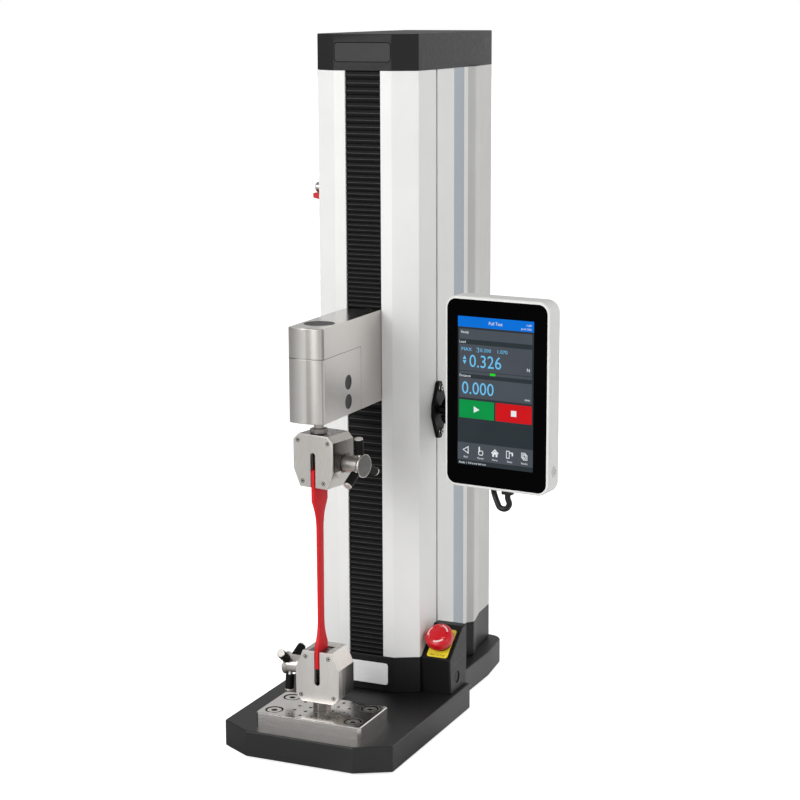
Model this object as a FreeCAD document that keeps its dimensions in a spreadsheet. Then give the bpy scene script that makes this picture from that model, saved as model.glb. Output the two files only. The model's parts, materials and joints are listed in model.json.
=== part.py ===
import FreeCAD, Part
import math
import os
import re

import Sketcher
from FreeCAD import Placement, Rotation, Vector

# Motorised force test stand with a pair of wedge grips, a rubber test piece and a touch panel.
# Millimetres. X to the right, Y to the back, Z up. The origin lies on the bench, under the load
# line, which runs up through the base plate, both grips and the load cell.

os.makedirs("parts", exist_ok=True)
doc = FreeCAD.newDocument("ForceTestStand")

# Driving dimensions
SIZES = {
    # base casting and feet
    "foot_proud": 3.0, "foot_radius": 12.0, "foot_inset": 24.0,
    "base_height": 28.0, "base_half": 98.0, "base_front": 56.0,
    "base_bevel_x": 36.0, "base_bevel_y": 20.5, "base_step": 177.0,
    "base_rear": 350.5, "base_rear_half": 76.7, "base_rear_round": 18.0, "base_web": 73.5,
    "base_taper": 7.5, "base_taper_start": 284.0,
    "base_edge_round": 1.6, "base_rib": 8.0, "base_cell_depth": 18.0,
    # steel base plate
    "plate_half_x": 61.0, "plate_half_y": 35.5, "plate_thick": 14.0, "plate_bevel": 3.0,
    "hole_pitch": 13.0, "tapped_radius": 2.1, "tapped_depth": 11.0,
    "screw_spread_x": 46.0, "screw_spread_y": 21.0, "screw_head_radius": 8.0,
    "screw_head_height": 8.0, "screw_seat_depth": 8.6, "screw_seat_gap": 1.8,
    "screw_shank_radius": 4.0, "screw_bite": 14.0, "screw_fit": 0.1, "hex_socket": 6.0,
    # column
    "column_front": 111.5, "column_half": 58.7, "front_half": 33.4, "front_bevel": 13.5,
    "column_depth": 150.5, "slot_half": 20.4, "lip_depth": 12.0, "rail_face": 44.0,
    "foot_casting_height": 41.0, "column_height": 638.0,
    "t_slot_back": 61.8, "t_slot_width": 4.0, "t_slot_lip": 2.0, "t_slot_room": 9.0,
    "t_slot_deep": 4.2, "cell_wall": 4.0,
    "strip_start": 110.0, "strip_width": 29.0, "strip_thick": 0.8, "strip_sunk": 0.3,
    # rear of the column
    "flare_half": 64.5, "flare_run": 6.0, "flare_flat": 4.0, "frame_depth": 36.0,
    "frame_wall": 3.5, "cover_half": 54.6, "cover_depth": 46.5, "cover_wall": 2.2,
    "cover_seam": 0.8, "cover_inset": 0.6, "cover_round": 6.0,
    # cast foot of the column
    "foot_wall": 7.0, "deck_thick": 12.0,
    # top cap
    "cap_height": 38.0, "cap_wall": 3.0, "cap_top": 4.0, "cap_swell": 1.2, "cap_swell_at": 86.5,
    "cap_edge": 1.0, "badge_width": 64.0, "badge_height": 19.0, "badge_thick": 1.0,
    "badge_gap": 0.6, "badge_recess": 1.2, "badge_round": 3.0, "top_plate_thick": 8.0,
    "top_plate_gap": 1.5,
    # screw drive inside the column
    "drive_back": 45.5, "screw_radius": 6.0, "journal_fit": 0.05, "bearing_radius": 16.0,
    "bearing_fit": 0.02, "pulley_radius": 22.0, "pulley_width": 12.0, "pulley_lift": 9.0,
    "pulley_flange": 1.2, "motor_back": 186.5, "motor_half": 28.5, "motor_height": 76.0,
    "motor_pulley_radius": 12.0, "motor_shaft_radius": 4.0, "motor_shaft_room": 8.0,
    "belt_thick": 2.4, "belt_gap": 0.3, "belt_width": 9.0,
    "rail_width": 15.0, "rail_height": 12.0, "rail_neck": 2.0, "rail_end": 6.0,
    "carriage_half": 23.0, "carriage_front": 18.5, "carriage_depth": 54.0,
    "carriage_over": 8.0, "shoe_width": 34.0, "shoe_height": 42.0, "shoe_gap": 0.3,
    "nut_radius": 14.0, "nut_flange_radius": 20.0, "nut_flange_thick": 9.0, "nut_clear": 0.3,
    "nut_seat_fit": 0.05,
    # bellows
    "bellows_half": 20.0, "bellows_front": 1.5, "bellows_deep": 8.5, "bellows_skin": 0.7,
    "upper_pleats": 42, "lower_pleats": 44, "bellows_end": 3.0,
    # crosshead arm and load cell
    "arm_half": 20.1, "arm_bottom": 360.0, "arm_height": 98.5, "arm_front": 28.0,
    "arm_bow": 4.5, "arm_edge": 1.8, "cell_height": 67.0, "cell_back": 60.5,
    "cell_gap": 0.5, "cell_edge": 0.4,
    "cap_disc_radius": 16.0, "cap_disc_back": 4.0, "cap_disc_thick": 1.0,
    "plug_radius": 7.4, "plug_recess": 1.6, "plug_thick": 1.1, "plug_back": 29.5,
    "plug_high": 34.4, "plug_low": 13.9,
    "stud_radius": 5.0, "stud_grip": 8.0, "stud_cell": 14.0, "nut_flat": 16.4, "nut_bevel": 0.9,
    # wedge grips, each drawn with the end that takes the test piece at the top
    "grip_gap": 177.0, "lower_grip_top": 111.5, "upper_grip_turn": -10.4,
    "grip_half": 25.0, "grip_tall": 56.0, "grip_nose_half": 16.7, "grip_nose": 18.5,
    "grip_tail_half": 18.3, "grip_tail": 6.5, "grip_front": 9.0, "grip_back": 26.5,
    "grip_edge": 0.5, "grip_cover_thick": 2.0, "grip_slot_half": 3.15, "grip_slot_deep": 37.0,
    "grip_cover_screw": 1.9, "grip_screw_sunk": 0.3,
    "wedge_angle": 10.0, "throat_half": 10.2, "throat_deep": 44.0, "throat_back": 12.3,
    "jaw_gap": 0.3, "jaw_long": 35.0, "jaw_bite": 0.15, "jaw_front_gap": 0.3,
    "jaw_travel": 8.0, "jaw_drop": 0.4,
    "gear_module": 0.9, "gear_teeth": 11, "tooth_rise": 0.75, "tooth_root": 1.1,
    "tooth_slack": 0.13, "tooth_slope": 20.0, "shaft_back": 13.0, "shaft_deep": 24.9,
    "journal_radius": 6.2, "tail_journal_radius": 3.5, "shaft_end_gap": 0.5, "gear_reach": 21.0,
    "knob_recess_radius": 10.8, "knob_recess": 1.5, "knob_neck_radius": 9.5, "knob_long": 23.3,
    "knob_rim_radius": 12.1, "knob_rim": 1.6, "knob_flare": 3.4,
    "handle_at": 5.0, "handle_radius": 2.6, "handle_reach": 29.5, "handle_tip_radius": 4.5,
    "handle_tip": 1.6, "handle_tip_edge": 0.5, "sleeve_radius": 4.7, "sleeve_start": 12.4, "sleeve_gap": 0.1,
    "lower_handle_turn": 68.0, "upper_handle_turn": -173.5,
    # rubber test piece
    "strip_half_thick": 2.0, "tab_half": 11.8, "neck_half": 4.6, "tab_in_grip": 18.5,
    "tab_out_top": 17.0, "tab_out_low": 6.0, "tab_taper": 26.0,
    # emergency stop
    "pod_wide": 34.3, "pod_front": 20.0, "pod_rear": 66.0, "pod_lean": 3.4, "pod_chin": 40.5,
    "pod_top": 69.0, "pod_ridge": 12.0, "pod_wall": 3.0, "pod_round": 5.5, "pod_hole": 8.1,
    "stop_out": 18.2, "stop_back": 33.0,
    "stop_plate_x": 27.2, "stop_plate_y": 41.0, "stop_plate_thick": 1.0, "stop_plate_round": 2.5,
    "stop_nut_radius": 11.0, "stop_nut_thick": 2.2, "stop_barrel_radius": 7.9,
    "stop_barrel_long": 22.0, "stop_barrel_wall": 1.6, "stop_stem_radius": 5.9,
    "stop_head_radius": 14.3, "stop_head_lift": 5.6, "stop_head_thick": 14.3, "stop_head_edge": 1.6,
    "stop_head_flank": 8.0, "stop_travel": 3.2,
    "pod_plug_radius": 6.2, "pod_plug_y": 38.0, "pod_plug_z": 15.5, "pod_plug_sunk": 0.8,
    # travel limit stop on the left side
    "stop_slider_z": 576.0, "slider_reach": 13.0, "slider_half": 8.0, "slider_tall": 20.0,
    "slider_flag": 27.0, "slider_flag_tall": 8.5, "slider_key": 3.0, "slider_fit": 0.3,
    "thumb_radius": 5.6, "thumb_long": 13.0, "thumb_rise": 4.5,
    # ball mount of the touch panel
    "mount_z": 341.7, "diamond_half_z": 31.5, "diamond_half_y": 16.5, "diamond_end": 8.0,
    "diamond_thick": 4.2, "diamond_waist": 7.0, "mount_screw_pitch": 24.3, "mount_screw_radius": 4.2,
    "mount_screw_head": 2.4,
    "ball_radius": 12.7, "ball_stand": 25.4, "ball_neck": 4.6, "ball_fit": 0.25,
    "socket_radius": 16.0, "arm_split": 1.2, "arm_waist": 10.5, "neck_room": 5.4,
    "neck_swing": 23.0, "arm_thick": 15.0, "clamp_bolt_radius": 3.2, "wing_radius": 13.0, "wing_thick": 10.0,
    "wing_half": 25.0, "wing_gap": 0.3, "bolt_head_radius": 5.5, "bolt_head_thick": 4.0,
    # touch panel
    "panel_x": 176.9, "panel_y": 48.98, "panel_z": 390.5, "panel_turn": -5.8,
    "case_half_x": 59.4, "case_up": 97.5, "case_down": 101.1, "case_deep": 26.0,
    "case_round": 13.0, "case_edge": 4.5, "glass_half_x": 56.5, "glass_up": 94.4,
    "glass_down": 98.1, "glass_thick": 1.4, "glass_round": 10.0, "glass_gap": 0.2,
    "back_plate_radius": 31.0, "back_plate_thick": 4.0,
    "button_low": 77.0, "button_radius": 5.2, "button_deep": 3.0, "button_proud": 0.6,
    "button_fit": 0.25, "button_back": 13.0, "button_travel": 1.2,
    # lead of the touch panel
    "lead_radius": 2.7, "plug_half_x": 6.0, "plug_half_y": 4.0, "plug_long": 6.0,
    "plug_x": 6.3, "plug_y": 14.6,
    "gland_radius": 6.0, "gland_long": 8.0, "gland_edge": 1.5, "gland_z": 330.0, "tie_wall": 1.6,
    "tie_wide": 6.0,
    # electrics at the back
    "board_half": 42.0, "board_tall": 190.0, "board_thick": 1.6, "board_lift": 90.0,
    "board_post": 6.0, "inlet_half_x": 14.0, "inlet_half_z": 23.5, "inlet_z": 182.0,
    "inlet_deep": 22.0, "inlet_flange": 2.0, "inlet_flange_over": 4.0, "inlet_fit": 0.3,
    "rocker_half_x": 6.0, "rocker_half_z": 9.5, "rocker_z": 230.0, "rocker_thick": 5.0,
    "rocker_tilt": 8.0, "frame_half_x": 9.5, "frame_half_z": 14.0, "frame_deep": 14.0,
    # shared
    "label_half": 26.0, "label_low": 8.5, "label_tall": 24.5, "label_thick": 0.4,
    "label_round": 3.0,
}

sheet = doc.addObject("Spreadsheet::Sheet", "Sizes")
for row, (alias, size) in enumerate(SIZES.items(), 1):
    sheet.set(f"A{row}", alias.replace("_", " "))
    sheet.set(f"B{row}", str(size))
    sheet.setAlias(f"B{row}", alias)
doc.recompute()

# Levels and places worked out from the driving dimensions
BASE_TOP = "(foot_proud + base_height)"
PLATE_TOP = f"({BASE_TOP} + plate_thick)"
COLUMN_BOTTOM = f"({BASE_TOP} + foot_casting_height)"
COLUMN_TOP = f"({COLUMN_BOTTOM} + column_height)"
DECK_BOTTOM = f"({COLUMN_BOTTOM} - deck_thick)"
COLUMN_BACK = "(column_front + column_depth)"
FRAME_BACK = f"({COLUMN_BACK} + frame_depth)"
COVER_FRONT = f"({FRAME_BACK} + cover_seam)"
COVER_BACK = f"({COVER_FRONT} + cover_depth)"
DRIVE_Y = "(column_front + drive_back)"
MOTOR_Y = "(column_front + motor_back)"
ARM_TOP = "(arm_bottom + arm_height)"
CARRIAGE_FRONT = "(column_front + carriage_front)"
UPPER_GRIP_END = "(lower_grip_top + grip_gap)"
T_SLOT_Y = "(column_front + t_slot_back)"

WORD = re.compile(r"[a-z][a-z0-9_]*")
subparts = []


def bind(text):
    """Turns the plain name of a driving dimension into its cell."""
    return WORD.sub(lambda m: f"Sizes.{m.group(0)}" if m.group(0) in SIZES else m.group(0), text)


def val(text):
    """The number that an expression of the driving dimensions comes to."""
    found = sheet.evalExpression(bind(text))
    return float(getattr(found, "Value", found))


def new_body(label):
    body = doc.addObject("PartDesign::Body", label)
    body.Label = label
    subparts.append(body)
    return body


def new_sketch(body, role="XY_Plane", at="0"):
    """A sketch on one of the body's own origin planes, moved along that plane's normal."""
    plane = next(f for f in body.Origin.OriginFeatures if f.Role == role)
    sketch = body.newObject("Sketcher::SketchObject", "outline")
    sketch.AttachmentSupport = [(plane, "")]
    sketch.MapMode = "FlatFace"
    sketch.setExpression("AttachmentOffset.Base.z", bind(f"({at}) * 1"))
    return sketch


def hold(sketch, kind, text, value, *where):
    """Adds one dimension to a sketch and ties it to the cells."""
    number = sketch.addConstraint(Sketcher.Constraint(kind, *where, value))
    sketch.setExpression(f"Constraints[{number}]", bind(f"({text}) * 1"))


def polygon(sketch, points, arcs=None):
    """A closed outline. arcs maps a side's number to its middle point and its centre's height."""
    arcs = arcs or {}
    spots = [Vector(val(x), val(y), 0) for x, y in points]
    first = sketch.GeometryCount
    count = len(spots)
    for i, spot in enumerate(spots):
        after = spots[(i + 1) % count]
        if i in arcs:
            middle = Vector(val(arcs[i][0]), val(arcs[i][1]), 0)
            sketch.addGeometry(Part.Arc(spot, middle, after), False)
        else:
            sketch.addGeometry(Part.LineSegment(spot, after), False)
    flipped = set()
    for i in arcs:
        if (sketch.getPoint(first + i, 1) - spots[i]).Length > 1e-6:
            flipped.add(i)
    for i in range(count):
        j = (i + 1) % count
        end = 1 if i in flipped else 2
        start = 2 if j in flipped else 1
        sketch.addConstraint(Sketcher.Constraint("Coincident", first + i, end, first + j, start))
    for i, (x, y) in enumerate(points):
        start = 2 if i in flipped else 1
        hold(sketch, "DistanceX", x, spots[i].x, -1, 1, first + i, start)
        hold(sketch, "DistanceY", y, spots[i].y, -1, 1, first + i, start)
    for i, (_, _, centre) in arcs.items():
        hold(sketch, "DistanceY", centre, val(centre), -1, 1, first + i, 3)


def free_outline(sketch, spots):
    """A closed outline whose points come from a formula, such as a row of teeth."""
    spots = [Vector(x, y, 0) for x, y in spots]
    first = sketch.GeometryCount
    count = len(spots)
    sides = [Part.LineSegment(spots[i], spots[(i + 1) % count]) for i in range(count)]
    sketch.addGeometry(sides, False)
    for i in range(count):
        j = first + (i + 1) % count
        sketch.addConstraint(Sketcher.Constraint("Coincident", first + i, 2, j, 1))


def circle(sketch, x, y, radius):
    middle = Vector(val(x), val(y), 0)
    number = sketch.addGeometry(Part.Circle(middle, Vector(0, 0, 1), val(radius)), False)
    hold(sketch, "Radius", radius, val(radius), number)
    hold(sketch, "DistanceX", x, middle.x, -1, 1, number, 3)
    hold(sketch, "DistanceY", y, middle.y, -1, 1, number, 3)


def rectangle(sketch, x0, x1, y0, y1):
    polygon(sketch, [(x0, y0), (x1, y0), (x1, y1), (x0, y1)])


def rounded_rectangle(sketch, x0, x1, y0, y1, radius):
    """A rectangle whose four corners are quarter circles."""
    part = f"({radius}) * (1 - sqrt(0.5))"
    low, high = f"({y0}) + {radius}", f"({y1}) - {radius}"
    left, right = f"({x0}) + {radius}", f"({x1}) - {radius}"
    points = [(left, y0), (right, y0), (x1, low), (x1, high), (right, y1), (left, y1), (x0, high), (x0, low)]
    polygon(sketch, points, {
        1: (f"({x1}) - {part}", f"({y0}) + {part}", low), 3: (f"({x1}) - {part}", f"({y1}) - {part}", high),
        5: (f"({x0}) + {part}", f"({y1}) - {part}", high), 7: (f"({x0}) + {part}", f"({y0}) + {part}", low),
    })


def mirrored(points):
    """The points of a right half, from front to back, followed by the left half's."""
    return points + [(f"-({x})", y) for x, y in reversed(points)]


def pad(body, sketch, length, back=False, midplane=False):
    feature = body.newObject("PartDesign::Pad", "pad")
    feature.Profile = sketch
    feature.setExpression("Length", bind(f"({length}) * 1"))
    feature.Reversed = back
    feature.Midplane = midplane
    doc.recompute()
    return feature


def pocket(body, sketch, depth, along=False, midplane=False):
    """Cuts against the sketch's normal, or along it, and makes sure that something is cut."""
    before = body.Tip.Shape.Volume
    feature = body.newObject("PartDesign::Pocket", "pocket")
    feature.Profile = sketch
    feature.setExpression("Length", bind(f"({depth}) * 1"))
    feature.Reversed = along
    feature.Midplane = midplane
    doc.recompute()
    if not feature.Shape.Volume < before - 1e-6:
        raise RuntimeError(f"a pocket of {body.Label} cuts nothing")
    return feature


def turn(body, sketch, axis="V_Axis"):
    feature = body.newObject("PartDesign::Revolution", "turned")
    feature.Profile = sketch
    feature.ReferenceAxis = (sketch, [axis])
    feature.Angle = 360
    doc.recompute()
    return feature


def edges(feature, places):
    """Names of the straight edges that run along the coordinate given as None."""
    names = []
    for place in places:
        spot = [None if c is None else val(c) for c in place]
        for number, edge in enumerate(feature.Shape.Edges, 1):
            ends = [edge.Vertexes[0].Point, edge.Vertexes[-1].Point]
            span = [abs(ends[0][k] - ends[1][k]) for k in range(3)]
            free = spot.index(None)
            if span[free] < 1e-6:
                continue
            fits = all(abs(p[k] - spot[k]) < 1e-4 for p in ends for k in range(3) if k != free)
            if fits:
                names.append(f"Edge{number}")
    return list(dict.fromkeys(names))


def rim(feature, axis, level):
    """Names of the edges that lie wholly at one level."""
    height = val(level)
    names = []
    for number, edge in enumerate(feature.Shape.Edges, 1):
        box = edge.BoundBox
        low, high = ((box.XMin, box.XMax), (box.YMin, box.YMax), (box.ZMin, box.ZMax))[axis]
        if abs(low - height) < 1e-4 and abs(high - height) < 1e-4:
            names.append(f"Edge{number}")
    return names


def ease(body, kind, names, size):
    """A fillet or a chamfer on edges of the body's last feature."""
    feature = body.newObject(f"PartDesign::{kind}", kind.lower())
    feature.Base = (body.Tip if body.Tip != feature else feature.BaseFeature, names)
    feature.setExpression("Radius" if kind == "Fillet" else "Size", bind(f"({size}) * 1"))
    doc.recompute()
    return feature


def place(body, spot, rotation=None):
    body.Placement = Placement(Vector(*[val(c) for c in spot]), rotation or Rotation())


def turned_piece(label, profile, spot, rotation=None):
    """A piece turned about its own Z axis from (radius, height) points."""
    body = new_body(label)
    sketch = new_sketch(body, "XZ_Plane")
    polygon(sketch, profile)
    turn(body, sketch)
    place(body, spot, rotation)
    return body


# Outlines that several pieces share, right half from front to back

def column_line(inset="0"):
    """Outline of the column with its rear frame and cover."""
    return [
        (f"front_half - ({inset}) * 0.41", f"column_front + ({inset})"),
        (f"column_half - ({inset})", f"column_front + front_bevel + ({inset}) * 0.7"),
        (f"column_half - ({inset})", COLUMN_BACK),
        (f"flare_half - ({inset})", f"{COLUMN_BACK} + flare_run"),
        (f"flare_half - ({inset})", f"{COLUMN_BACK} + flare_run + flare_flat"),
        (f"column_half - cover_inset - ({inset})", FRAME_BACK),
        (f"cover_half - ({inset})", f"{COVER_BACK} - ({inset})"),
    ]


# Base

def base_casting():
    body = new_body("base_casting")
    outline = new_sketch(body, "XY_Plane", "foot_proud")
    polygon(outline, mirrored([
        ("base_half - base_bevel_x", "-base_front"),
        ("base_half", "base_bevel_y - base_front"),
        ("base_half", "base_step"),
        ("base_rear_half", "base_step"),
        ("base_rear_half", "base_taper_start"),
        ("base_rear_half - base_taper", "base_rear"),
    ]))
    block = pad(body, outline, "base_height")
    rear = edges(block, [(f"{s}(base_rear_half - base_taper)", "base_rear", None) for s in ("", "-")])
    ease(body, "Fillet", rear, "base_rear_round")
    corners = [(f"{s}({x})", y, None) for s in ("", "-") for x, y in (
        ("base_half - base_bevel_x", "-base_front"), ("base_half", "base_bevel_y - base_front"),
        ("base_half", "base_step"))]
    ease(body, "Fillet", edges(body.Tip, corners), "base_edge_round * 2")
    ease(body, "Fillet", rim(body.Tip, 2, BASE_TOP), "base_edge_round")
    cells = new_sketch(body, "XY_Plane", "foot_proud")
    front = "base_bevel_y - base_front + base_rib"
    for side in ("", "-"):
        for near, far in ((front, "base_web - base_rib / 2"),
                          ("base_web + base_rib / 2", "base_step - base_rib"),
                          ("base_step + base_rib", "base_rear - base_rear_round - base_rib")):
            wide = "base_rear_half" if far.startswith("base_rear") else "base_half"
            inner, outer = f"{side}(base_rib / 2)", f"{side}({wide} - foot_inset - foot_radius)"
            low, high = (inner, outer) if not side else (outer, inner)
            rectangle(cells, low, high, near, far)
    pocket(body, cells, "base_cell_depth", along=True)
    holes = new_sketch(body, "XY_Plane", BASE_TOP)
    for x, y in SCREW_SPOTS:
        circle(holes, x, y, "screw_shank_radius + screw_fit")
    circle(holes, "0", "0", "stud_radius + screw_fit")
    pocket(body, holes, "base_height - base_cell_depth - 2")


SCREW_SPOTS = [(f"{a}screw_spread_x", f"{b}screw_spread_y") for a in ("-", "") for b in ("-", "")]


def feet():
    body = new_body("feet")
    sketch = new_sketch(body)
    for side in ("-", ""):
        circle(sketch, f"{side}(base_half - foot_inset)", "foot_inset + base_bevel_y - base_front",
               "foot_radius")
        circle(sketch, f"{side}(base_rear_half - foot_inset)", "base_rear - foot_inset", "foot_radius")
    pad(body, sketch, "foot_proud")
    ease(body, "Chamfer", rim(body.Tip, 2, "0"), "foot_proud / 4")


def base_plate():
    body = new_body("base_plate")
    sketch = new_sketch(body, "XY_Plane", BASE_TOP)
    polygon(sketch, mirrored([
        ("plate_half_x - plate_bevel", "-plate_half_y"),
        ("plate_half_x", "plate_bevel - plate_half_y"),
        ("plate_half_x", "plate_half_y - plate_bevel"),
        ("plate_half_x - plate_bevel", "plate_half_y"),
    ]))
    pad(body, sketch, "plate_thick")
    ease(body, "Chamfer", rim(body.Tip, 2, PLATE_TOP), "plate_bevel / 4")
    grid = new_sketch(body, "XY_Plane", PLATE_TOP)
    for i in range(-2, 3):
        for j in range(-2, 3):
            if i or j:
                circle(grid, f"{i} * hole_pitch", f"{j} * hole_pitch", "tapped_radius")
    pocket(body, grid, "tapped_depth")
    seats = new_sketch(body, "XY_Plane", PLATE_TOP)
    for x, y in SCREW_SPOTS:
        circle(seats, x, y, "screw_head_radius + screw_seat_gap")
    pocket(body, seats, "screw_seat_depth")
    through = new_sketch(body, "XY_Plane", PLATE_TOP)
    for x, y in SCREW_SPOTS:
        circle(through, x, y, "screw_shank_radius + screw_fit")
    circle(through, "0", "0", "stud_radius + screw_fit")
    pocket(body, through, "plate_thick")


def base_plate_screws():
    body = new_body("base_plate_screws")
    seat = f"{PLATE_TOP} - screw_seat_depth"
    heads = new_sketch(body, "XY_Plane", seat)
    for x, y in SCREW_SPOTS:
        circle(heads, x, y, "screw_head_radius")
    pad(body, heads, "screw_head_height")
    ease(body, "Chamfer", rim(body.Tip, 2, f"{seat} + screw_head_height"), "screw_head_radius / 12")
    sockets = new_sketch(body, "XY_Plane", f"{seat} + screw_head_height")
    for x, y in SCREW_SPOTS:
        hexagon(sockets, x, y, "hex_socket")
    pocket(body, sockets, "screw_head_height / 2")
    shanks = new_sketch(body, "XY_Plane", seat)
    for x, y in SCREW_SPOTS:
        circle(shanks, x, y, "screw_shank_radius")
    pad(body, shanks, "plate_thick - screw_seat_depth + base_height - base_cell_depth - 3", back=True)


def hexagon(sketch, x, y, flats):
    """A hexagon by its width across flats."""
    points = []
    for corner in range(6):
        angle = f"({corner} * 60 + 30)"
        radius = f"({flats} / 2 / cos(30deg))"
        points.append((f"{x} + {radius} * cos({angle} * 1deg)", f"{y} + {radius} * sin({angle} * 1deg)"))
    polygon(sketch, points)


# Column

def column_foot():
    body = new_body("column_foot")
    outline = new_sketch(body, "XY_Plane", BASE_TOP)
    polygon(outline, mirrored(column_line()))
    pad(body, outline, "foot_casting_height")
    back = [(f"{s}cover_half", COVER_BACK, None) for s in ("", "-")]
    ease(body, "Fillet", edges(body.Tip, back), "cover_round")
    room = new_sketch(body, "XY_Plane", BASE_TOP)
    polygon(room, mirrored(column_line("foot_wall")))
    pocket(body, room, "foot_casting_height - deck_thick", along=True)
    bores = new_sketch(body, "XY_Plane", COLUMN_BOTTOM)
    circle(bores, "0", DRIVE_Y, "bearing_radius")
    circle(bores, "0", MOTOR_Y, "motor_shaft_room")
    pocket(body, bores, "deck_thick")


def column_half_profile(label, side):
    body = new_body(label)
    x = (lambda t: t) if side > 0 else (lambda t: f"-({t})")
    outline = new_sketch(body, "XY_Plane", COLUMN_BOTTOM)
    polygon(outline, [(x(a), b) for a, b in [
        ("slot_half", "column_front"),
        ("front_half", "column_front"),
        ("column_half", "column_front + front_bevel"),
        ("column_half", COLUMN_BACK),
        ("rail_face", COLUMN_BACK),
        ("rail_face", "column_front + lip_depth"),
        ("slot_half", "column_front + lip_depth"),
    ]])
    pad(body, outline, "column_height")
    groove = new_sketch(body, "XY_Plane", COLUMN_BOTTOM)
    near, far = "t_slot_width / 2", "t_slot_room / 2"
    lip, floor = "column_half - t_slot_lip", "column_half - t_slot_lip - t_slot_deep"
    polygon(groove, [(x(a), b) for a, b in [
        ("column_half + 1", f"{T_SLOT_Y} - {near}"), (lip, f"{T_SLOT_Y} - {near}"),
        (lip, f"{T_SLOT_Y} - {far}"), (floor, f"{T_SLOT_Y} - {far}"),
        (floor, f"{T_SLOT_Y} + {far}"), (lip, f"{T_SLOT_Y} + {far}"),
        (lip, f"{T_SLOT_Y} + {near}"), ("column_half + 1", f"{T_SLOT_Y} + {near}"),
    ]])
    pocket(body, groove, "column_height", along=True)
    cells = new_sketch(body, "XY_Plane", COLUMN_BOTTOM)
    inner, outer = x("rail_face + cell_wall"), x("column_half - cell_wall")
    low, high = (inner, outer) if side > 0 else (outer, inner)
    rectangle(cells, low, high, "column_front + lip_depth + cell_wall + front_bevel",
              f"{T_SLOT_Y} - t_slot_room / 2 - cell_wall")
    rectangle(cells, low, high, f"{T_SLOT_Y} + t_slot_room / 2 + cell_wall",
              f"{COLUMN_BACK} - cell_wall")
    pocket(body, cells, "column_height", along=True)
    seat = new_sketch(body, "XY_Plane", COLUMN_BOTTOM)
    low, high = x("column_half - strip_thick"), x("column_half + 1")
    low, high = (low, high) if side > 0 else (high, low)
    rectangle(seat, low, high, "column_front + strip_start",
              "column_front + strip_start + strip_width")
    pocket(body, seat, "column_height", along=True)


def side_strips():
    body = new_body("side_strips")
    sketch = new_sketch(body, "XY_Plane", COLUMN_BOTTOM)
    low, high = "column_half - strip_thick", "column_half - strip_sunk"
    front = "column_front + strip_start"
    rectangle(sketch, low, high, front, f"{front} + strip_width")
    rectangle(sketch, f"-({high})", f"-({low})", front, f"{front} + strip_width")
    pad(body, sketch, "column_height")


def rear_frame():
    body = new_body("rear_frame")
    sketch = new_sketch(body, "XY_Plane", COLUMN_BOTTOM)
    outer = [
        ("column_half", COLUMN_BACK),
        ("flare_half", f"{COLUMN_BACK} + flare_run"),
        ("flare_half", f"{COLUMN_BACK} + flare_run + flare_flat"),
        ("column_half", FRAME_BACK),
        ("column_half - frame_wall", FRAME_BACK),
        ("flare_half - frame_wall - 1", f"{COLUMN_BACK} + flare_run + flare_flat"),
        ("flare_half - frame_wall - 1", f"{COLUMN_BACK} + flare_run + 1"),
        ("column_half - frame_wall", f"{COLUMN_BACK} + frame_wall"),
    ]
    polygon(sketch, mirrored(outer))
    pad(body, sketch, "column_height")
    soft = [(f"{s}flare_half", f"{COLUMN_BACK} + flare_run", None) for s in ("", "-")]
    ease(body, "Fillet", edges(body.Tip, soft), "flare_flat * 0.8")
    hole = new_sketch(body, "YZ_Plane", "flare_half + 1")
    circle(hole, f"{COLUMN_BACK} + flare_run + flare_flat / 2", "gland_z", "gland_radius * 0.7")
    pocket(body, hole, "frame_wall + 4")


def rear_cover():
    body = new_body("rear_cover")
    sketch = new_sketch(body, "XY_Plane", COLUMN_BOTTOM)
    polygon(sketch, mirrored([
        ("column_half - cover_inset", COVER_FRONT), ("cover_half", COVER_BACK),
    ]))
    pad(body, sketch, "column_height")
    back = [(f"{s}cover_half", COVER_BACK, None) for s in ("", "-")]
    ease(body, "Fillet", edges(body.Tip, back), "cover_round")
    room = new_sketch(body, "XY_Plane", COLUMN_BOTTOM)
    polygon(room, mirrored([
        ("column_half - cover_inset - cover_wall", f"{COVER_FRONT} - 1"),
        ("cover_half - cover_wall", f"{COVER_BACK} - cover_wall - cover_round"),
        ("cover_half - cover_wall - cover_round", f"{COVER_BACK} - cover_wall"),
    ]))
    pocket(body, room, "column_height", along=True)
    holes = new_sketch(body, "XZ_Plane", f"-{COVER_BACK} - 1")
    rectangle(holes, "-inlet_half_x - inlet_fit", "inlet_half_x + inlet_fit",
              "inlet_z - inlet_half_z - inlet_fit", "inlet_z + inlet_half_z + inlet_fit")
    rectangle(holes, "-frame_half_x - inlet_fit", "frame_half_x + inlet_fit",
              "rocker_z - frame_half_z - inlet_fit", "rocker_z + frame_half_z + inlet_fit")
    pocket(body, holes, "cover_wall + 2", along=True)


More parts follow.
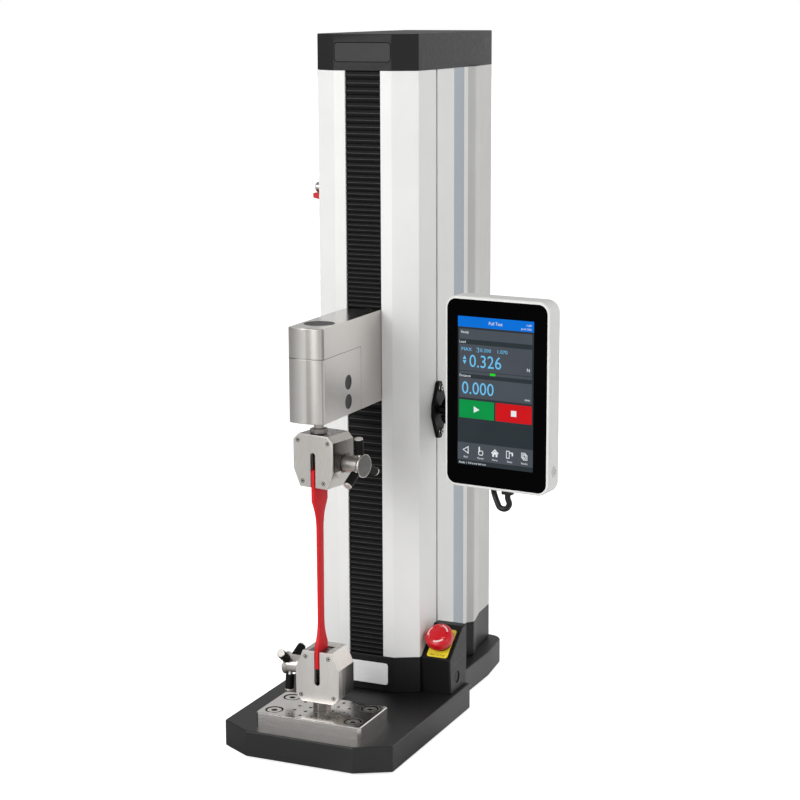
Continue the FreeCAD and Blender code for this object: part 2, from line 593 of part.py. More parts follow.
def top_cap():
    body = new_body("top_cap")
    outline = new_sketch(body, "XY_Plane", COLUMN_TOP)
    line = [
        ("front_half", "column_front"),
        ("column_half", "column_front + front_bevel"),
        ("column_half + cap_swell", "column_front + cap_swell_at"),
        ("column_half", FRAME_BACK),
        ("cover_half", COVER_BACK),
    ]
    polygon(outline, mirrored(line))
    pad(body, outline, "cap_height")
    back = [(f"{s}cover_half", COVER_BACK, None) for s in ("", "-")]
    ease(body, "Fillet", edges(body.Tip, back), "cover_round")
    ease(body, "Fillet", rim(body.Tip, 2, f"{COLUMN_TOP} + cap_height"), "cap_edge")
    room = new_sketch(body, "XY_Plane", COLUMN_TOP)
    polygon(room, mirrored([
        ("front_half - cap_wall", "column_front + cap_wall"),
        ("column_half - cap_wall", "column_front + front_bevel + cap_wall * 0.6"),
        ("column_half - cap_wall", FRAME_BACK),
        ("cover_half - cap_wall", f"{COVER_BACK} - cap_wall"),
    ]))
    pocket(body, room, "cap_height - cap_top", along=True)
    middle = f"{COLUMN_TOP} + cap_height / 2"
    seat = new_sketch(body, "XZ_Plane", "-column_front")
    rectangle(seat, "-badge_width / 2 - badge_gap", "badge_width / 2 + badge_gap",
              f"{middle} - badge_height / 2 - badge_gap", f"{middle} + badge_height / 2 + badge_gap")
    pocket(body, seat, "badge_recess")
    corners = [(f"{s}(badge_width / 2 + badge_gap)", None, f"{middle} {t} (badge_height / 2 + badge_gap)")
               for s in ("", "-") for t in ("-", "+")]
    ease(body, "Fillet", edges(body.Tip, corners), "badge_round + badge_gap")


def cap_badge():
    body = new_body("cap_badge")
    middle = f"{COLUMN_TOP} + cap_height / 2"
    sketch = new_sketch(body, "XZ_Plane", "-column_front - badge_recess")
    rectangle(sketch, "-badge_width / 2", "badge_width / 2",
              f"{middle} - badge_height / 2", f"{middle} + badge_height / 2")
    pad(body, sketch, "badge_thick")
    corners = [(f"{s}badge_width / 2", None, f"{middle} {t} badge_height / 2")
               for s in ("", "-") for t in ("-", "+")]
    ease(body, "Fillet", edges(body.Tip, corners), "badge_round")


def front_label():
    body = new_body("front_label")
    sketch = new_sketch(body, "XZ_Plane", "-column_front")
    low, high = f"{BASE_TOP} + label_low", f"{BASE_TOP} + label_low + label_tall"
    rectangle(sketch, "-label_half", "label_half", low, high)
    pad(body, sketch, "label_thick")
    corners = [(f"{s}label_half", None, t) for s in ("", "-") for t in (low, high)]
    ease(body, "Fillet", edges(body.Tip, corners), "label_round")


def top_plate():
    body = new_body("top_plate")
    sketch = new_sketch(body, "XY_Plane", COLUMN_TOP)
    polygon(sketch, mirrored([
        ("front_half - cap_wall - top_plate_gap", "column_front + cap_wall + top_plate_gap"),
        ("column_half - cap_wall - top_plate_gap", "column_front + front_bevel + cap_wall + top_plate_gap"),
        ("column_half - cap_wall - top_plate_gap", f"{COLUMN_BACK} - top_plate_gap"),
    ]))
    circle(sketch, "0", DRIVE_Y, "bearing_radius")
    pad(body, sketch, "top_plate_thick")


# Screw drive

def screw_bearings():
    body = new_body("screw_bearings")
    for level, thick in ((DECK_BOTTOM, "deck_thick"), (COLUMN_TOP, "top_plate_thick")):
        sketch = new_sketch(body, "XY_Plane", level)
        circle(sketch, "0", DRIVE_Y, "bearing_radius - bearing_fit")
        circle(sketch, "0", DRIVE_Y, "screw_radius + journal_fit")
        pad(body, sketch, thick)


def ball_screw():
    body = new_body("ball_screw")
    low = f"{BASE_TOP} + pulley_lift - 2"
    high = f"{COLUMN_TOP} + top_plate_thick + 3"
    body_sketch = new_sketch(body, "XY_Plane", low)
    circle(body_sketch, "0", DRIVE_Y, "screw_radius")
    pad(body, body_sketch, f"({high}) - ({low})")
    ease(body, "Chamfer", rim(body.Tip, 2, high) + rim(body.Tip, 2, low), "screw_radius / 6")


def pulley(label, y, radius, bore, hub_down):
    body = new_body(label)
    low = f"{BASE_TOP} + pulley_lift"
    profile = [
        (bore, low), (f"{radius} + belt_thick * 0.6", low),
        (f"{radius} + belt_thick * 0.6", f"{low} + pulley_flange"),
        (radius, f"{low} + pulley_flange"), (radius, f"{low} + pulley_width - pulley_flange"),
        (f"{radius} + belt_thick * 0.6", f"{low} + pulley_width - pulley_flange"),
        (f"{radius} + belt_thick * 0.6", f"{low} + pulley_width"),
        (hub_down, f"{low} + pulley_width"), (hub_down, f"{low} + pulley_width + 4"),
        (bore, f"{low} + pulley_width + 4"),
    ]
    sketch = new_sketch(body, "XZ_Plane")
    polygon(sketch, profile)
    turn(body, sketch)
    place(body, ("0", y, "0"))


def motor():
    body = new_body("drive_motor")
    sketch = new_sketch(body, "XY_Plane", COLUMN_BOTTOM)
    rectangle(sketch, "-motor_half", "motor_half", f"{MOTOR_Y} - motor_half", f"{MOTOR_Y} + motor_half")
    pad(body, sketch, "motor_height")
    corners = [(f"{s}motor_half", f"{MOTOR_Y} {t} motor_half", None) for s in ("", "-") for t in ("-", "+")]
    ease(body, "Chamfer", edges(body.Tip, corners), "motor_half / 7")
    bore = new_sketch(body, "XY_Plane", COLUMN_BOTTOM)
    circle(bore, "0", MOTOR_Y, "motor_shaft_radius + journal_fit")
    pocket(body, bore, "motor_height / 3", along=True)


def motor_shaft():
    body = new_body("motor_shaft")
    sketch = new_sketch(body, "XY_Plane", f"{BASE_TOP} + pulley_lift - 1")
    circle(sketch, "0", MOTOR_Y, "motor_shaft_radius")
    pad(body, sketch, "foot_casting_height - pulley_lift + 1 + motor_height / 3 - 1")


def drive_belt():
    """An open-sided loop that runs round both pulleys."""
    big = val("pulley_radius + belt_gap")
    small = val("motor_pulley_radius + belt_gap")
    thick = val("belt_thick")
    near, far = Vector(0, val(DRIVE_Y), 0), Vector(0, val(MOTOR_Y), 0)
    lean = math.asin((big - small) / (far - near).Length)

    def loop(extra):
        a, b = big + extra, small + extra
        side = Vector(math.cos(lean), math.sin(lean), 0)
        other = Vector(-side.x, side.y, 0)
        near_arc = Part.Arc(near + side * a, near - Vector(0, a, 0), near + other * a)
        far_arc = Part.Arc(far + other * b, far + Vector(0, b, 0), far + side * b)
        runs = [Part.LineSegment(near + other * a, far + other * b),
                Part.LineSegment(far + side * b, near + side * a)]
        return Part.Wire(Part.__sortEdges__([e.toShape() for e in (near_arc, runs[0], far_arc, runs[1])]))

    face = Part.Face(loop(thick)).cut(Part.Face(loop(0)))
    lift = val(f"{BASE_TOP} + pulley_lift + (pulley_width - belt_width) / 2")
    feature = doc.addObject("Part::Feature", "drive_belt")
    feature.Label = "drive_belt"
    feature.Shape = face.extrude(Vector(0, 0, val("belt_width")))
    feature.Placement = Placement(Vector(0, 0, lift), Rotation())
    subparts.append(feature)


def guide_rails():
    body = new_body("guide_rails")
    sketch = new_sketch(body, "XY_Plane", f"{COLUMN_BOTTOM} + rail_end")
    tip, root = "rail_face - rail_height", "rail_face"
    half, neck = "rail_width / 2", "rail_width / 2 - rail_neck"
    line = [(root, half), (root, f"-({half})"), ("rail_face - rail_height * 0.35", f"-({half})"),
            ("rail_face - rail_height * 0.5", f"-({neck})"), ("rail_face - rail_height * 0.7", f"-({neck})"),
            ("rail_face - rail_height * 0.8", f"-({half})"), (tip, f"-({half})"), (tip, half),
            ("rail_face - rail_height * 0.8", half), ("rail_face - rail_height * 0.7", neck),
            ("rail_face - rail_height * 0.5", neck), ("rail_face - rail_height * 0.35", half)]
    polygon(sketch, [(a, f"{DRIVE_Y} + {b}") for a, b in line])
    polygon(sketch, [(f"-({a})", f"{DRIVE_Y} + {b}") for a, b in line])
    pad(body, sketch, "column_height - 2 * rail_end")


def rail_shoes():
    """Four shoes, two on each rail, that reach round its head."""
    body = new_body("rail_shoes")
    gap = "shoe_gap"
    inner, mouth = "carriage_half", "rail_face - rail_height * 0.3"
    head = f"rail_face - rail_height - {gap}"
    line = [
        (inner, "-shoe_width / 2"), (mouth, "-shoe_width / 2"),
        (mouth, f"-rail_width / 2 - {gap}"), (head, f"-rail_width / 2 - {gap}"),
        (head, f"rail_width / 2 + {gap}"), (mouth, f"rail_width / 2 + {gap}"),
        (mouth, "shoe_width / 2"), (inner, "shoe_width / 2"),
    ]
    for level in ("arm_bottom - carriage_over", f"{ARM_TOP} + carriage_over - shoe_height"):
        sketch = new_sketch(body, "XY_Plane", level)
        for s in ("", "-"):
            polygon(sketch, [(f"{s}({a})", f"{DRIVE_Y} + {b}") for a, b in line])
        pad(body, sketch, "shoe_height")


def carriage():
    body = new_body("carriage")
    low = "arm_bottom - carriage_over"
    tall = "arm_height + 2 * carriage_over"
    sketch = new_sketch(body, "XY_Plane", low)
    rectangle(sketch, "-carriage_half", "carriage_half", CARRIAGE_FRONT, f"{CARRIAGE_FRONT} + carriage_depth")
    circle(sketch, "0", DRIVE_Y, "nut_radius + nut_seat_fit")
    pad(body, sketch, tall)
    back = [(f"{s}carriage_half", f"{CARRIAGE_FRONT} + carriage_depth", None) for s in ("", "-")]
    ease(body, "Chamfer", edges(body.Tip, back), "carriage_half / 4")


def ball_nut():
    body = new_body("ball_nut")
    top = f"{ARM_TOP} + carriage_over"
    sketch = new_sketch(body, "XZ_Plane")
    polygon(sketch, [
        ("screw_radius + nut_clear", f"{top} + nut_flange_thick"),
        ("nut_flange_radius", f"{top} + nut_flange_thick"),
        ("nut_flange_radius", top), ("nut_radius", top), ("nut_radius", f"{top} - 4 * nut_flange_thick"),
        ("screw_radius + nut_clear", f"{top} - 4 * nut_flange_thick"),
    ])
    turn(body, sketch)
    place(body, ("0", DRIVE_Y, "0"))


# Bellows

def bellows(label, low, high, pleats):
    """A folded skin of one thickness, with a flat strip at each end."""
    bottom, top = val(low), val(high)
    end, skin, half = val("bellows_end"), val("bellows_skin"), val("bellows_half")
    front = val("column_front + bellows_front")
    back = front + val("bellows_deep")
    count = int(round(val(pleats)))
    pitch = (top - bottom - 2 * end) / count
    outer, inner = [], []
    for i in range(count + 1):
        z = bottom + end + i * pitch
        outer.append((back - skin, z))
        if i < count:
            outer.append((front, z + pitch / 2))
    shift = skin
    inner = [(y + shift, z) for y, z in outer]
    ends_low = [(back + skin, bottom + end), (back + skin, bottom), (front, bottom), (front, bottom + end)]
    ends_high = [(front, top - end), (front, top), (back + skin, top), (back + skin, top - end)]
    body = new_body(label)
    sketch = new_sketch(body, "YZ_Plane", "-bellows_half")
    free_outline(sketch, ends_low + outer + ends_high + inner[::-1])
    pad(body, sketch, "2 * bellows_half")


# Crosshead

def arm_line(back):
    """Plan of the arm: bowed front, straight sides."""
    return [("arm_half", back), ("-arm_half", back), ("-arm_half", "-arm_front"), ("arm_half", "-arm_front")]


BOW_RADIUS = "(arm_half * arm_half + arm_bow * arm_bow) / (2 * arm_bow)"
ARM_BOW = {2: ("0", "-arm_front - arm_bow", f"-arm_front - arm_bow + {BOW_RADIUS}")}


def crosshead_arm():
    body = new_body("crosshead_arm")
    sketch = new_sketch(body, "XY_Plane", "arm_bottom")
    polygon(sketch, arm_line(CARRIAGE_FRONT), ARM_BOW)
    pad(body, sketch, "arm_height")
    corners = [(f"{s}arm_half", "-arm_front", None) for s in ("", "-")]
    ease(body, "Chamfer", edges(body.Tip, corners), "arm_edge")
    room = new_sketch(body, "YZ_Plane", "-arm_half - 1")
    rectangle(room, "-arm_front - arm_bow - 1", "cell_back + cell_gap", "arm_bottom - 1",
              "arm_bottom + cell_height")
    pocket(body, room, "2 * arm_half + 2", along=True)
    ease(body, "Chamfer", rim(body.Tip, 2, ARM_TOP), "cell_edge")
    seat = new_sketch(body, "XY_Plane", ARM_TOP)
    circle(seat, "0", "cap_disc_back", "cap_disc_radius + 0.15")
    pocket(body, seat, "cap_disc_thick")


def load_cell():
    body = new_body("load_cell")
    sketch = new_sketch(body, "XY_Plane", "arm_bottom")
    polygon(sketch, arm_line("cell_back"), ARM_BOW)
    pad(body, sketch, "cell_height")
    corners = [(f"{s}arm_half", "-arm_front", None) for s in ("", "-")]
    ease(body, "Chamfer", edges(body.Tip, corners), "arm_edge")
    ease(body, "Chamfer", rim(body.Tip, 2, "arm_bottom") + rim(body.Tip, 2, "arm_bottom + cell_height"),
         "cell_edge")
    stud = new_sketch(body, "XY_Plane", "arm_bottom")
    circle(stud, "0", "0", "stud_radius + screw_fit")
    pocket(body, stud, "stud_cell + 1", along=True)
    for side in (1, -1):
        face = "arm_half" if side > 0 else "-arm_half"
        seat = new_sketch(body, "YZ_Plane", face)
        for height in ("plug_high", "plug_low"):
            circle(seat, "plug_back", f"arm_bottom + {height}", "plug_radius + 0.15")
        pocket(body, seat, "plug_recess", along=side < 0)


def load_cell_plugs():
    body = new_body("load_cell_plugs")
    for side in (1, -1):
        floor = "arm_half - plug_recess" if side > 0 else "plug_recess - arm_half"
        sketch = new_sketch(body, "YZ_Plane", floor)
        for height in ("plug_high", "plug_low"):
            circle(sketch, "plug_back", f"arm_bottom + {height}", "plug_radius")
        pad(body, sketch, "plug_thick", back=side < 0)


def arm_top_disc():
    body = new_body("arm_top_disc")
    sketch = new_sketch(body, "XY_Plane", f"{ARM_TOP} - cap_disc_thick")
    circle(sketch, "0", "cap_disc_back", "cap_disc_radius")
    pad(body, sketch, "cap_disc_thick")


def stud(label, low, high):
    body = new_body(label)
    sketch = new_sketch(body, "XY_Plane", low)
    circle(sketch, "0", "0", "stud_radius")
    pad(body, sketch, f"({high}) - ({low})")
    ease(body, "Chamfer", rim(body.Tip, 2, low) + rim(body.Tip, 2, high), "stud_radius / 6")


def jam_nut(label, low, high):
    body = new_body(label)
    sketch = new_sketch(body, "XY_Plane", low)
    hexagon(sketch, "0", "0", "nut_flat")
    circle(sketch, "0", "0", "stud_radius + screw_fit")
    pad(body, sketch, f"({high}) - ({low})")


# Wedge grips. A pinion shaft behind the jaws meets a rack on the back of each, so that the knob
# draws both jaws down their inclines, away from the test piece.

def grip_outline(sketch):
    polygon(sketch, mirrored([
        ("grip_tail_half", "-grip_tall"),
        ("grip_half", "grip_tail - grip_tall"),
        ("grip_half", "-grip_nose"),
        ("grip_nose_half", "0"),
    ]))


def grip_body(label):
    body = new_body(label)
    sketch = new_sketch(body, "XZ_Plane", "grip_front")
    grip_outline(sketch)
    pad(body, sketch, "grip_front + grip_back", back=True)
    ease(body, "Chamfer", rim(body.Tip, 1, "grip_back"), "grip_edge")
    throat = new_sketch(body, "XZ_Plane", "grip_front")
    spread = "throat_half + throat_deep * tan(wedge_angle * 1deg)"
    polygon(throat, [("-throat_half", "0.0"), (f"-({spread})", "-throat_deep"), (spread, "-throat_deep"),
                     ("throat_half", "0.0")])
    pocket(body, throat, "grip_front + throat_back")
    bore = new_sketch(body, "YZ_Plane", "-grip_half")
    circle(bore, "shaft_back", "-shaft_deep", "journal_radius + journal_fit")
    pocket(body, bore, "grip_half + gear_reach + shaft_end_gap", along=True)
    tail = new_sketch(body, "YZ_Plane", "gear_reach + shaft_end_gap - 0.1")
    circle(tail, "shaft_back", "-shaft_deep", "tail_journal_radius + journal_fit")
    pocket(body, tail, "grip_half - gear_reach - shaft_end_gap - 1", along=True)
    ring = new_sketch(body, "YZ_Plane", "-grip_half")
    circle(ring, "shaft_back", "-shaft_deep", "knob_recess_radius")
    pocket(body, ring, "knob_recess", along=True)
    socket = new_sketch(body, "XY_Plane", "-grip_tall")
    circle(socket, "0", "0", "stud_radius + screw_fit")
    pocket(body, socket, "stud_grip + 1", along=True)
    screws = new_sketch(body, "XZ_Plane", "grip_front")
    for x, z in COVER_SCREWS:
        circle(screws, x, z, "grip_cover_screw * 0.6 + 0.05")
    pocket(body, screws, "grip_cover_thick * 2")
    return body


COVER_SCREWS = [(f"{s}({x})", z) for s in ("", "-") for x, z in (
    ("grip_nose_half - 3.4", "-6.2"), ("grip_half - 6.0", "7.2 - grip_tall"))]


def grip_cover(label):
    body = new_body(label)
    sketch = new_sketch(body, "XZ_Plane", "grip_front")
    grip_outline(sketch)
    pad(body, sketch, "grip_cover_thick")
    front = "-grip_front - grip_cover_thick"
    ease(body, "Chamfer", rim(body.Tip, 1, front), "grip_edge")
    slot = new_sketch(body, "XZ_Plane", "grip_front + grip_cover_thick")
    low = "grip_slot_half - grip_slot_deep"
    arc = {0: ("0", "-grip_slot_deep", low)}
    polygon(slot, [("-grip_slot_half", low), ("grip_slot_half", low), ("grip_slot_half", "1"),
                   ("-grip_slot_half", "1")], arc)
    pocket(body, slot, "grip_cover_thick")
    holes = new_sketch(body, "XZ_Plane", "grip_front + grip_cover_thick")
    for x, z in COVER_SCREWS:
        circle(holes, x, z, "grip_cover_screw + 0.1")
    pocket(body, holes, "grip_cover_thick")
    return body


def grip_cover_screws(label):
    body = new_body(label)
    heads = new_sketch(body, "XZ_Plane", "grip_front")
    for x, z in COVER_SCREWS:
        circle(heads, x, z, "grip_cover_screw")
    pad(body, heads, "grip_cover_thick - grip_screw_sunk")
    sockets = new_sketch(body, "XZ_Plane", "grip_front + grip_cover_thick - grip_screw_sunk")
    for x, z in COVER_SCREWS:
        hexagon(sockets, x, z, "grip_cover_screw")
    pocket(body, sockets, "grip_cover_thick / 2")
    shanks = new_sketch(body, "XZ_Plane", "grip_front")
    for x, z in COVER_SCREWS:
        circle(shanks, x, z, "grip_cover_screw * 0.6")
    pad(body, shanks, "grip_cover_thick * 2 - 0.5", back=True)
    return body


def gear_sizes():
    module = val("gear_module")
    teeth = int(round(val("gear_teeth")))
    half = module * math.pi / 4 - val("tooth_slack")
    slope = math.tan(math.radians(val("tooth_slope")))
    return module, teeth, half, slope, val("tooth_rise"), val("tooth_root")


def pinion_outline():
    """Teeth round the pitch circle, one of them pointing at the rack."""
    module, teeth, half, slope, rise, root = gear_sizes()
    pitch_radius = module * teeth / 2
    spots = []
    for k in range(teeth):
        middle = math.pi + 2 * math.pi * k / teeth
        for radius, wide in ((pitch_radius - root, half + root * slope), (pitch_radius - 0.1, half + 0.02),
                             (pitch_radius + rise, half - rise * slope * 1.25)):
            spots.append((radius, middle - wide / radius))
        for radius, wide in ((pitch_radius + rise, half - rise * slope * 1.25),
                             (pitch_radius - 0.1, half + 0.02),
                             (pitch_radius - root, half + root * slope)):
            spots.append((radius, middle + wide / radius))
    y0, z0 = val("shaft_back"), -val("shaft_deep")
    return [(y0 + r * math.cos(a), z0 + r * math.sin(a)) for r, a in spots]


def knob_frame(turn_cell, step):
    """Placement, in the grip's own frame, that stands a handle's Z axis on the knob's hub."""
    angle = val(f"{turn_cell} + {step} * 120")
    spot = Vector(val("-grip_half - knob_long + handle_at"), val("shaft_back"), -val("shaft_deep"))
    return Placement(spot, Rotation(Vector(1, 0, 0), -angle))


def rod_solid(radius, low, high, frame, edge=0.0):
    rod = Part.makeCylinder(radius, high - low, Vector(0, 0, low))
    if edge:
        rod = rod.makeChamfer(edge, [e for e in rod.Edges if abs(e.BoundBox.ZMin - high) < 1e-6 and e.Closed])
    return rod.transformed(frame.toMatrix())


def knob_piece(label, turn_cell, placement):
    """The knob: pinion, journals and hub on one shaft, with three handle rods."""
    hub = turned_shaft()
    for step in range(3):
        frame = knob_frame(turn_cell, step)
        tip = val("handle_reach")
        neck = tip - val("handle_tip")
        hub = hub.fuse(rod_solid(val("handle_radius"), 0, neck + 0.5, frame))
        hub = hub.fuse(rod_solid(val("handle_tip_radius"), neck, tip, frame, val("handle_tip_edge")))
    add_feature(label, hub.removeSplitter(), placement)


def turned_shaft():
    """Pinion with its two journals and the flared hub."""
    spots = [Vector(0, y, z) for y, z in pinion_outline()]
    reach = val("gear_reach")
    gear = Part.Face(Part.makePolygon(spots + spots[:1])).extrude(Vector(2 * reach, 0, 0))
    gear.translate(Vector(-reach, 0, 0))
    back, deep, side = val("shaft_back"), val("shaft_deep"), val("grip_half")
    end = side + val("knob_long")
    rim_start = end - val("knob_rim")
    line = [
        (-end, 0), (-end, val("knob_rim_radius")), (-rim_start, val("knob_rim_radius")),
        (-rim_start + val("knob_flare"), val("knob_neck_radius")),
        (-side + val("knob_recess") * 0.4, val("knob_neck_radius")),
        (-side + val("knob_recess") * 0.4, val("journal_radius")),
        (-reach, val("journal_radius")), (-reach, val("tail_journal_radius")),
        (side - 2, val("tail_journal_radius")), (side - 2, 0),
    ]
    points = [Vector(x, 0, r) for x, r in line]
    shaft = Part.Face(Part.makePolygon(points + points[:1])).revolve(Vector(0, 0, 0), Vector(1, 0, 0), 360)
    shaft.translate(Vector(0, back, -deep))
    return gear.fuse(shaft)


def add_feature(label, shape, placement):
    feature = doc.addObject("Part::Feature", label)
    feature.Label = label
    feature.Shape = shape
    feature.Placement = placement
    subparts.append(feature)
    return feature


def sleeves(label, turn_cell, placement):
    """Black grips slid over the three handle rods."""
    shapes = []
    for step in range(3):
        frame = knob_frame(turn_cell, step)
        start, stop = val("sleeve_start"), val("handle_reach - handle_tip - sleeve_gap")
        tube = rod_solid(val("sleeve_radius"), start, stop, frame, 0.5)
        shapes.append(tube.cut(rod_solid(val("handle_radius + sleeve_gap / 2"), start - 1, stop + 1, frame)))
    add_feature(label, Part.makeCompound(shapes), placement)


def jaw(label, side, placement):
    """A wedge jaw with its rack. side is +1 or -1 in the grip's own frame."""
    slope = math.tan(math.radians(val("wedge_angle")))
    gap = val("jaw_gap")
    face = val("strip_half_thick + jaw_bite")
    top, bottom = -val("jaw_drop"), -val("jaw_drop + jaw_long")
    flank = val("throat_half") - gap / math.cos(math.radians(val("wedge_angle")))
    module, teeth, half, rack_slope, rise, root = gear_sizes()
    pitch_y = val("shaft_back") - module * teeth / 2
    front = -val("grip_front") + val("jaw_front_gap")
    outline = [
        Vector(face, front, top), Vector(flank - top * slope, front, top),
        Vector(flank - bottom * slope, front, bottom), Vector(face, front, bottom),
    ]
    blank = Part.Face(Part.makePolygon(outline + outline[:1])).extrude(Vector(0, pitch_y + rise - front, 0))
    pitch = math.pi * module
    middle = -val("shaft_deep")
    wide = val("grip_half")
    depth = rise + root
    at_tip = pitch / 2 - (half - rise * rack_slope)
    at_root = pitch / 2 - (half + root * rack_slope)
    count = int(val("jaw_long") / pitch) + 2
    for k in range(-count, count + 1):
        z = middle + k * pitch
        if z + at_tip > top or z - at_tip < bottom:
            continue
        space = [
            Vector(0, pitch_y + rise + 0.5, z - at_tip - 0.5 * rack_slope),
            Vector(0, pitch_y + rise + 0.5, z + at_tip + 0.5 * rack_slope),
            Vector(0, pitch_y - root, z + at_root), Vector(0, pitch_y - root, z - at_root),
        ]
        blank = blank.cut(Part.Face(Part.makePolygon(space + space[:1])).extrude(Vector(wide, 0, 0)))
    if side < 0:
        blank = blank.mirror(Vector(0, 0, 0), Vector(1, 0, 0))
    add_feature(label, blank.removeSplitter(), placement)


def grip(which, placement, turn_cell):
    for piece in (grip_body(f"{which}_grip_body"), grip_cover(f"{which}_grip_cover"),
                  grip_cover_screws(f"{which}_grip_screws")):
        piece.Placement = placement
    knob_piece(f"{which}_grip_knob", turn_cell, placement)
    sleeves(f"{which}_grip_sleeves", turn_cell, placement)
    jaw(f"{which}_jaw_a", 1, placement)
    jaw(f"{which}_jaw_b", -1, placement)


def specimen():
    """Rubber dumbbell test piece, held by its tabs and twisted as the upper grip is turned."""
    low, high = val("lower_grip_top - tab_in_grip"), val(f"{UPPER_GRIP_END} + tab_in_grip")
    tab_low, tab_high = val("lower_grip_top + tab_out_low"), val(f"{UPPER_GRIP_END} - tab_out_top")
    wide, slim, run = val("tab_half"), val("neck_half"), val("tab_taper")
    shoulder, thick = slim + (wide - slim) * 0.2, val("strip_half_thick")
    middle = (low + high) / 2
    levels = [(low, wide), (val("lower_grip_top"), wide), (tab_low, wide), (tab_low + run / 2, shoulder),
              (tab_low + run, slim), (middle, slim), (tab_high - run, slim), (tab_high - run / 2, shoulder),
              (tab_high, wide), (val(UPPER_GRIP_END), wide), (high, wide)]
    start, stop = levels[1][0], levels[-2][0]
    rings = []
    for z, half in levels:
        share = min(max((z - start) / (stop - start), 0), 1)
        twist = Rotation(Vector(0, 0, 1), val("upper_grip_turn") * share)
        corners = [Vector(-thick, -half, 0), Vector(thick, -half, 0), Vector(thick, half, 0),
                   Vector(-thick, half, 0)]
        corners = [twist.multVec(c) + Vector(0, 0, z) for c in corners]
        rings.append(Part.makePolygon(corners + corners[:1]))
    add_feature("specimen", Part.makeLoft(rings, True, True), Placement())


# Emergency stop

POD_FRONT = "(column_front + pod_front)"
POD_REAR = "(column_front + pod_rear)"
POD_OUTER = "(column_half + pod_wide)"
POD_RUN = "(pod_rear - pod_ridge - pod_front + pod_lean)"
POD_RISE = "(pod_top - pod_chin)"
STOP_TILT = math.degrees(math.atan2(val(POD_RISE), val(POD_RUN)))
STOP_FRAME = Rotation(Vector(1, 0, 0), STOP_TILT)
STOP_SPOT = ("column_half + stop_out", "column_front + stop_back",
             f"{BASE_TOP} + pod_chin + (stop_back - pod_front + pod_lean) * {POD_RISE} / {POD_RUN}")


def estop_housing():
    body = new_body("estop_housing")
    sketch = new_sketch(body, "YZ_Plane", "column_half")
    polygon(sketch, [
        (POD_FRONT, BASE_TOP), (f"{POD_FRONT} - pod_lean", f"{BASE_TOP} + pod_chin"),
        (f"{POD_REAR} - pod_ridge", f"{BASE_TOP} + pod_top"),
        (POD_REAR, f"{BASE_TOP} + pod_top - pod_wall / 6"), (POD_REAR, BASE_TOP)])
    pad(body, sketch, f"{POD_OUTER} - column_half")
    room = new_sketch(body, "YZ_Plane", "column_half + pod_wall")
    roof = f"{BASE_TOP} + pod_top - pod_wall * 1.2"
    polygon(room, [
        (f"{POD_FRONT} + pod_wall", BASE_TOP),
        (f"{POD_FRONT} - pod_lean + pod_wall", f"{BASE_TOP} + pod_chin - pod_wall"),
        (f"{POD_REAR} - pod_ridge", roof), (f"{POD_REAR} - pod_wall", roof),
        (f"{POD_REAR} - pod_wall", BASE_TOP)])
    pocket(body, room, f"{POD_OUTER} - column_half - 2 * pod_wall", along=True)
    names = []
    outer, floor = val(POD_OUTER), val(BASE_TOP)
    for number, edge in enumerate(body.Tip.Shape.Edges, 1):
        box = edge.BoundBox
        if abs(box.XMin - outer) < 1e-6 and abs(box.XMax - outer) < 1e-6 and box.ZMax > floor + 1:
            names.append(f"Edge{number}")
    ease(body, "Fillet", names, "pod_wall * 0.7")
    side = new_sketch(body, "YZ_Plane", POD_OUTER)
    circle(side, "column_front + pod_plug_y", f"{BASE_TOP} + pod_plug_z", "pod_plug_radius + 0.1")
    pocket(body, side, "pod_wall / 2")
    angled = body.newObject("Sketcher::SketchObject", "stop_hole")
    plane = next(f for f in body.Origin.OriginFeatures if f.Role == "XY_Plane")
    angled.AttachmentSupport = [(plane, "")]
    angled.MapMode = "FlatFace"
    angled.AttachmentOffset = Placement(Vector(*[val(c) for c in STOP_SPOT]), STOP_FRAME)
    circle(angled, "0", "0", "pod_hole")
    pocket(body, angled, "pod_wall * 6", midplane=True)


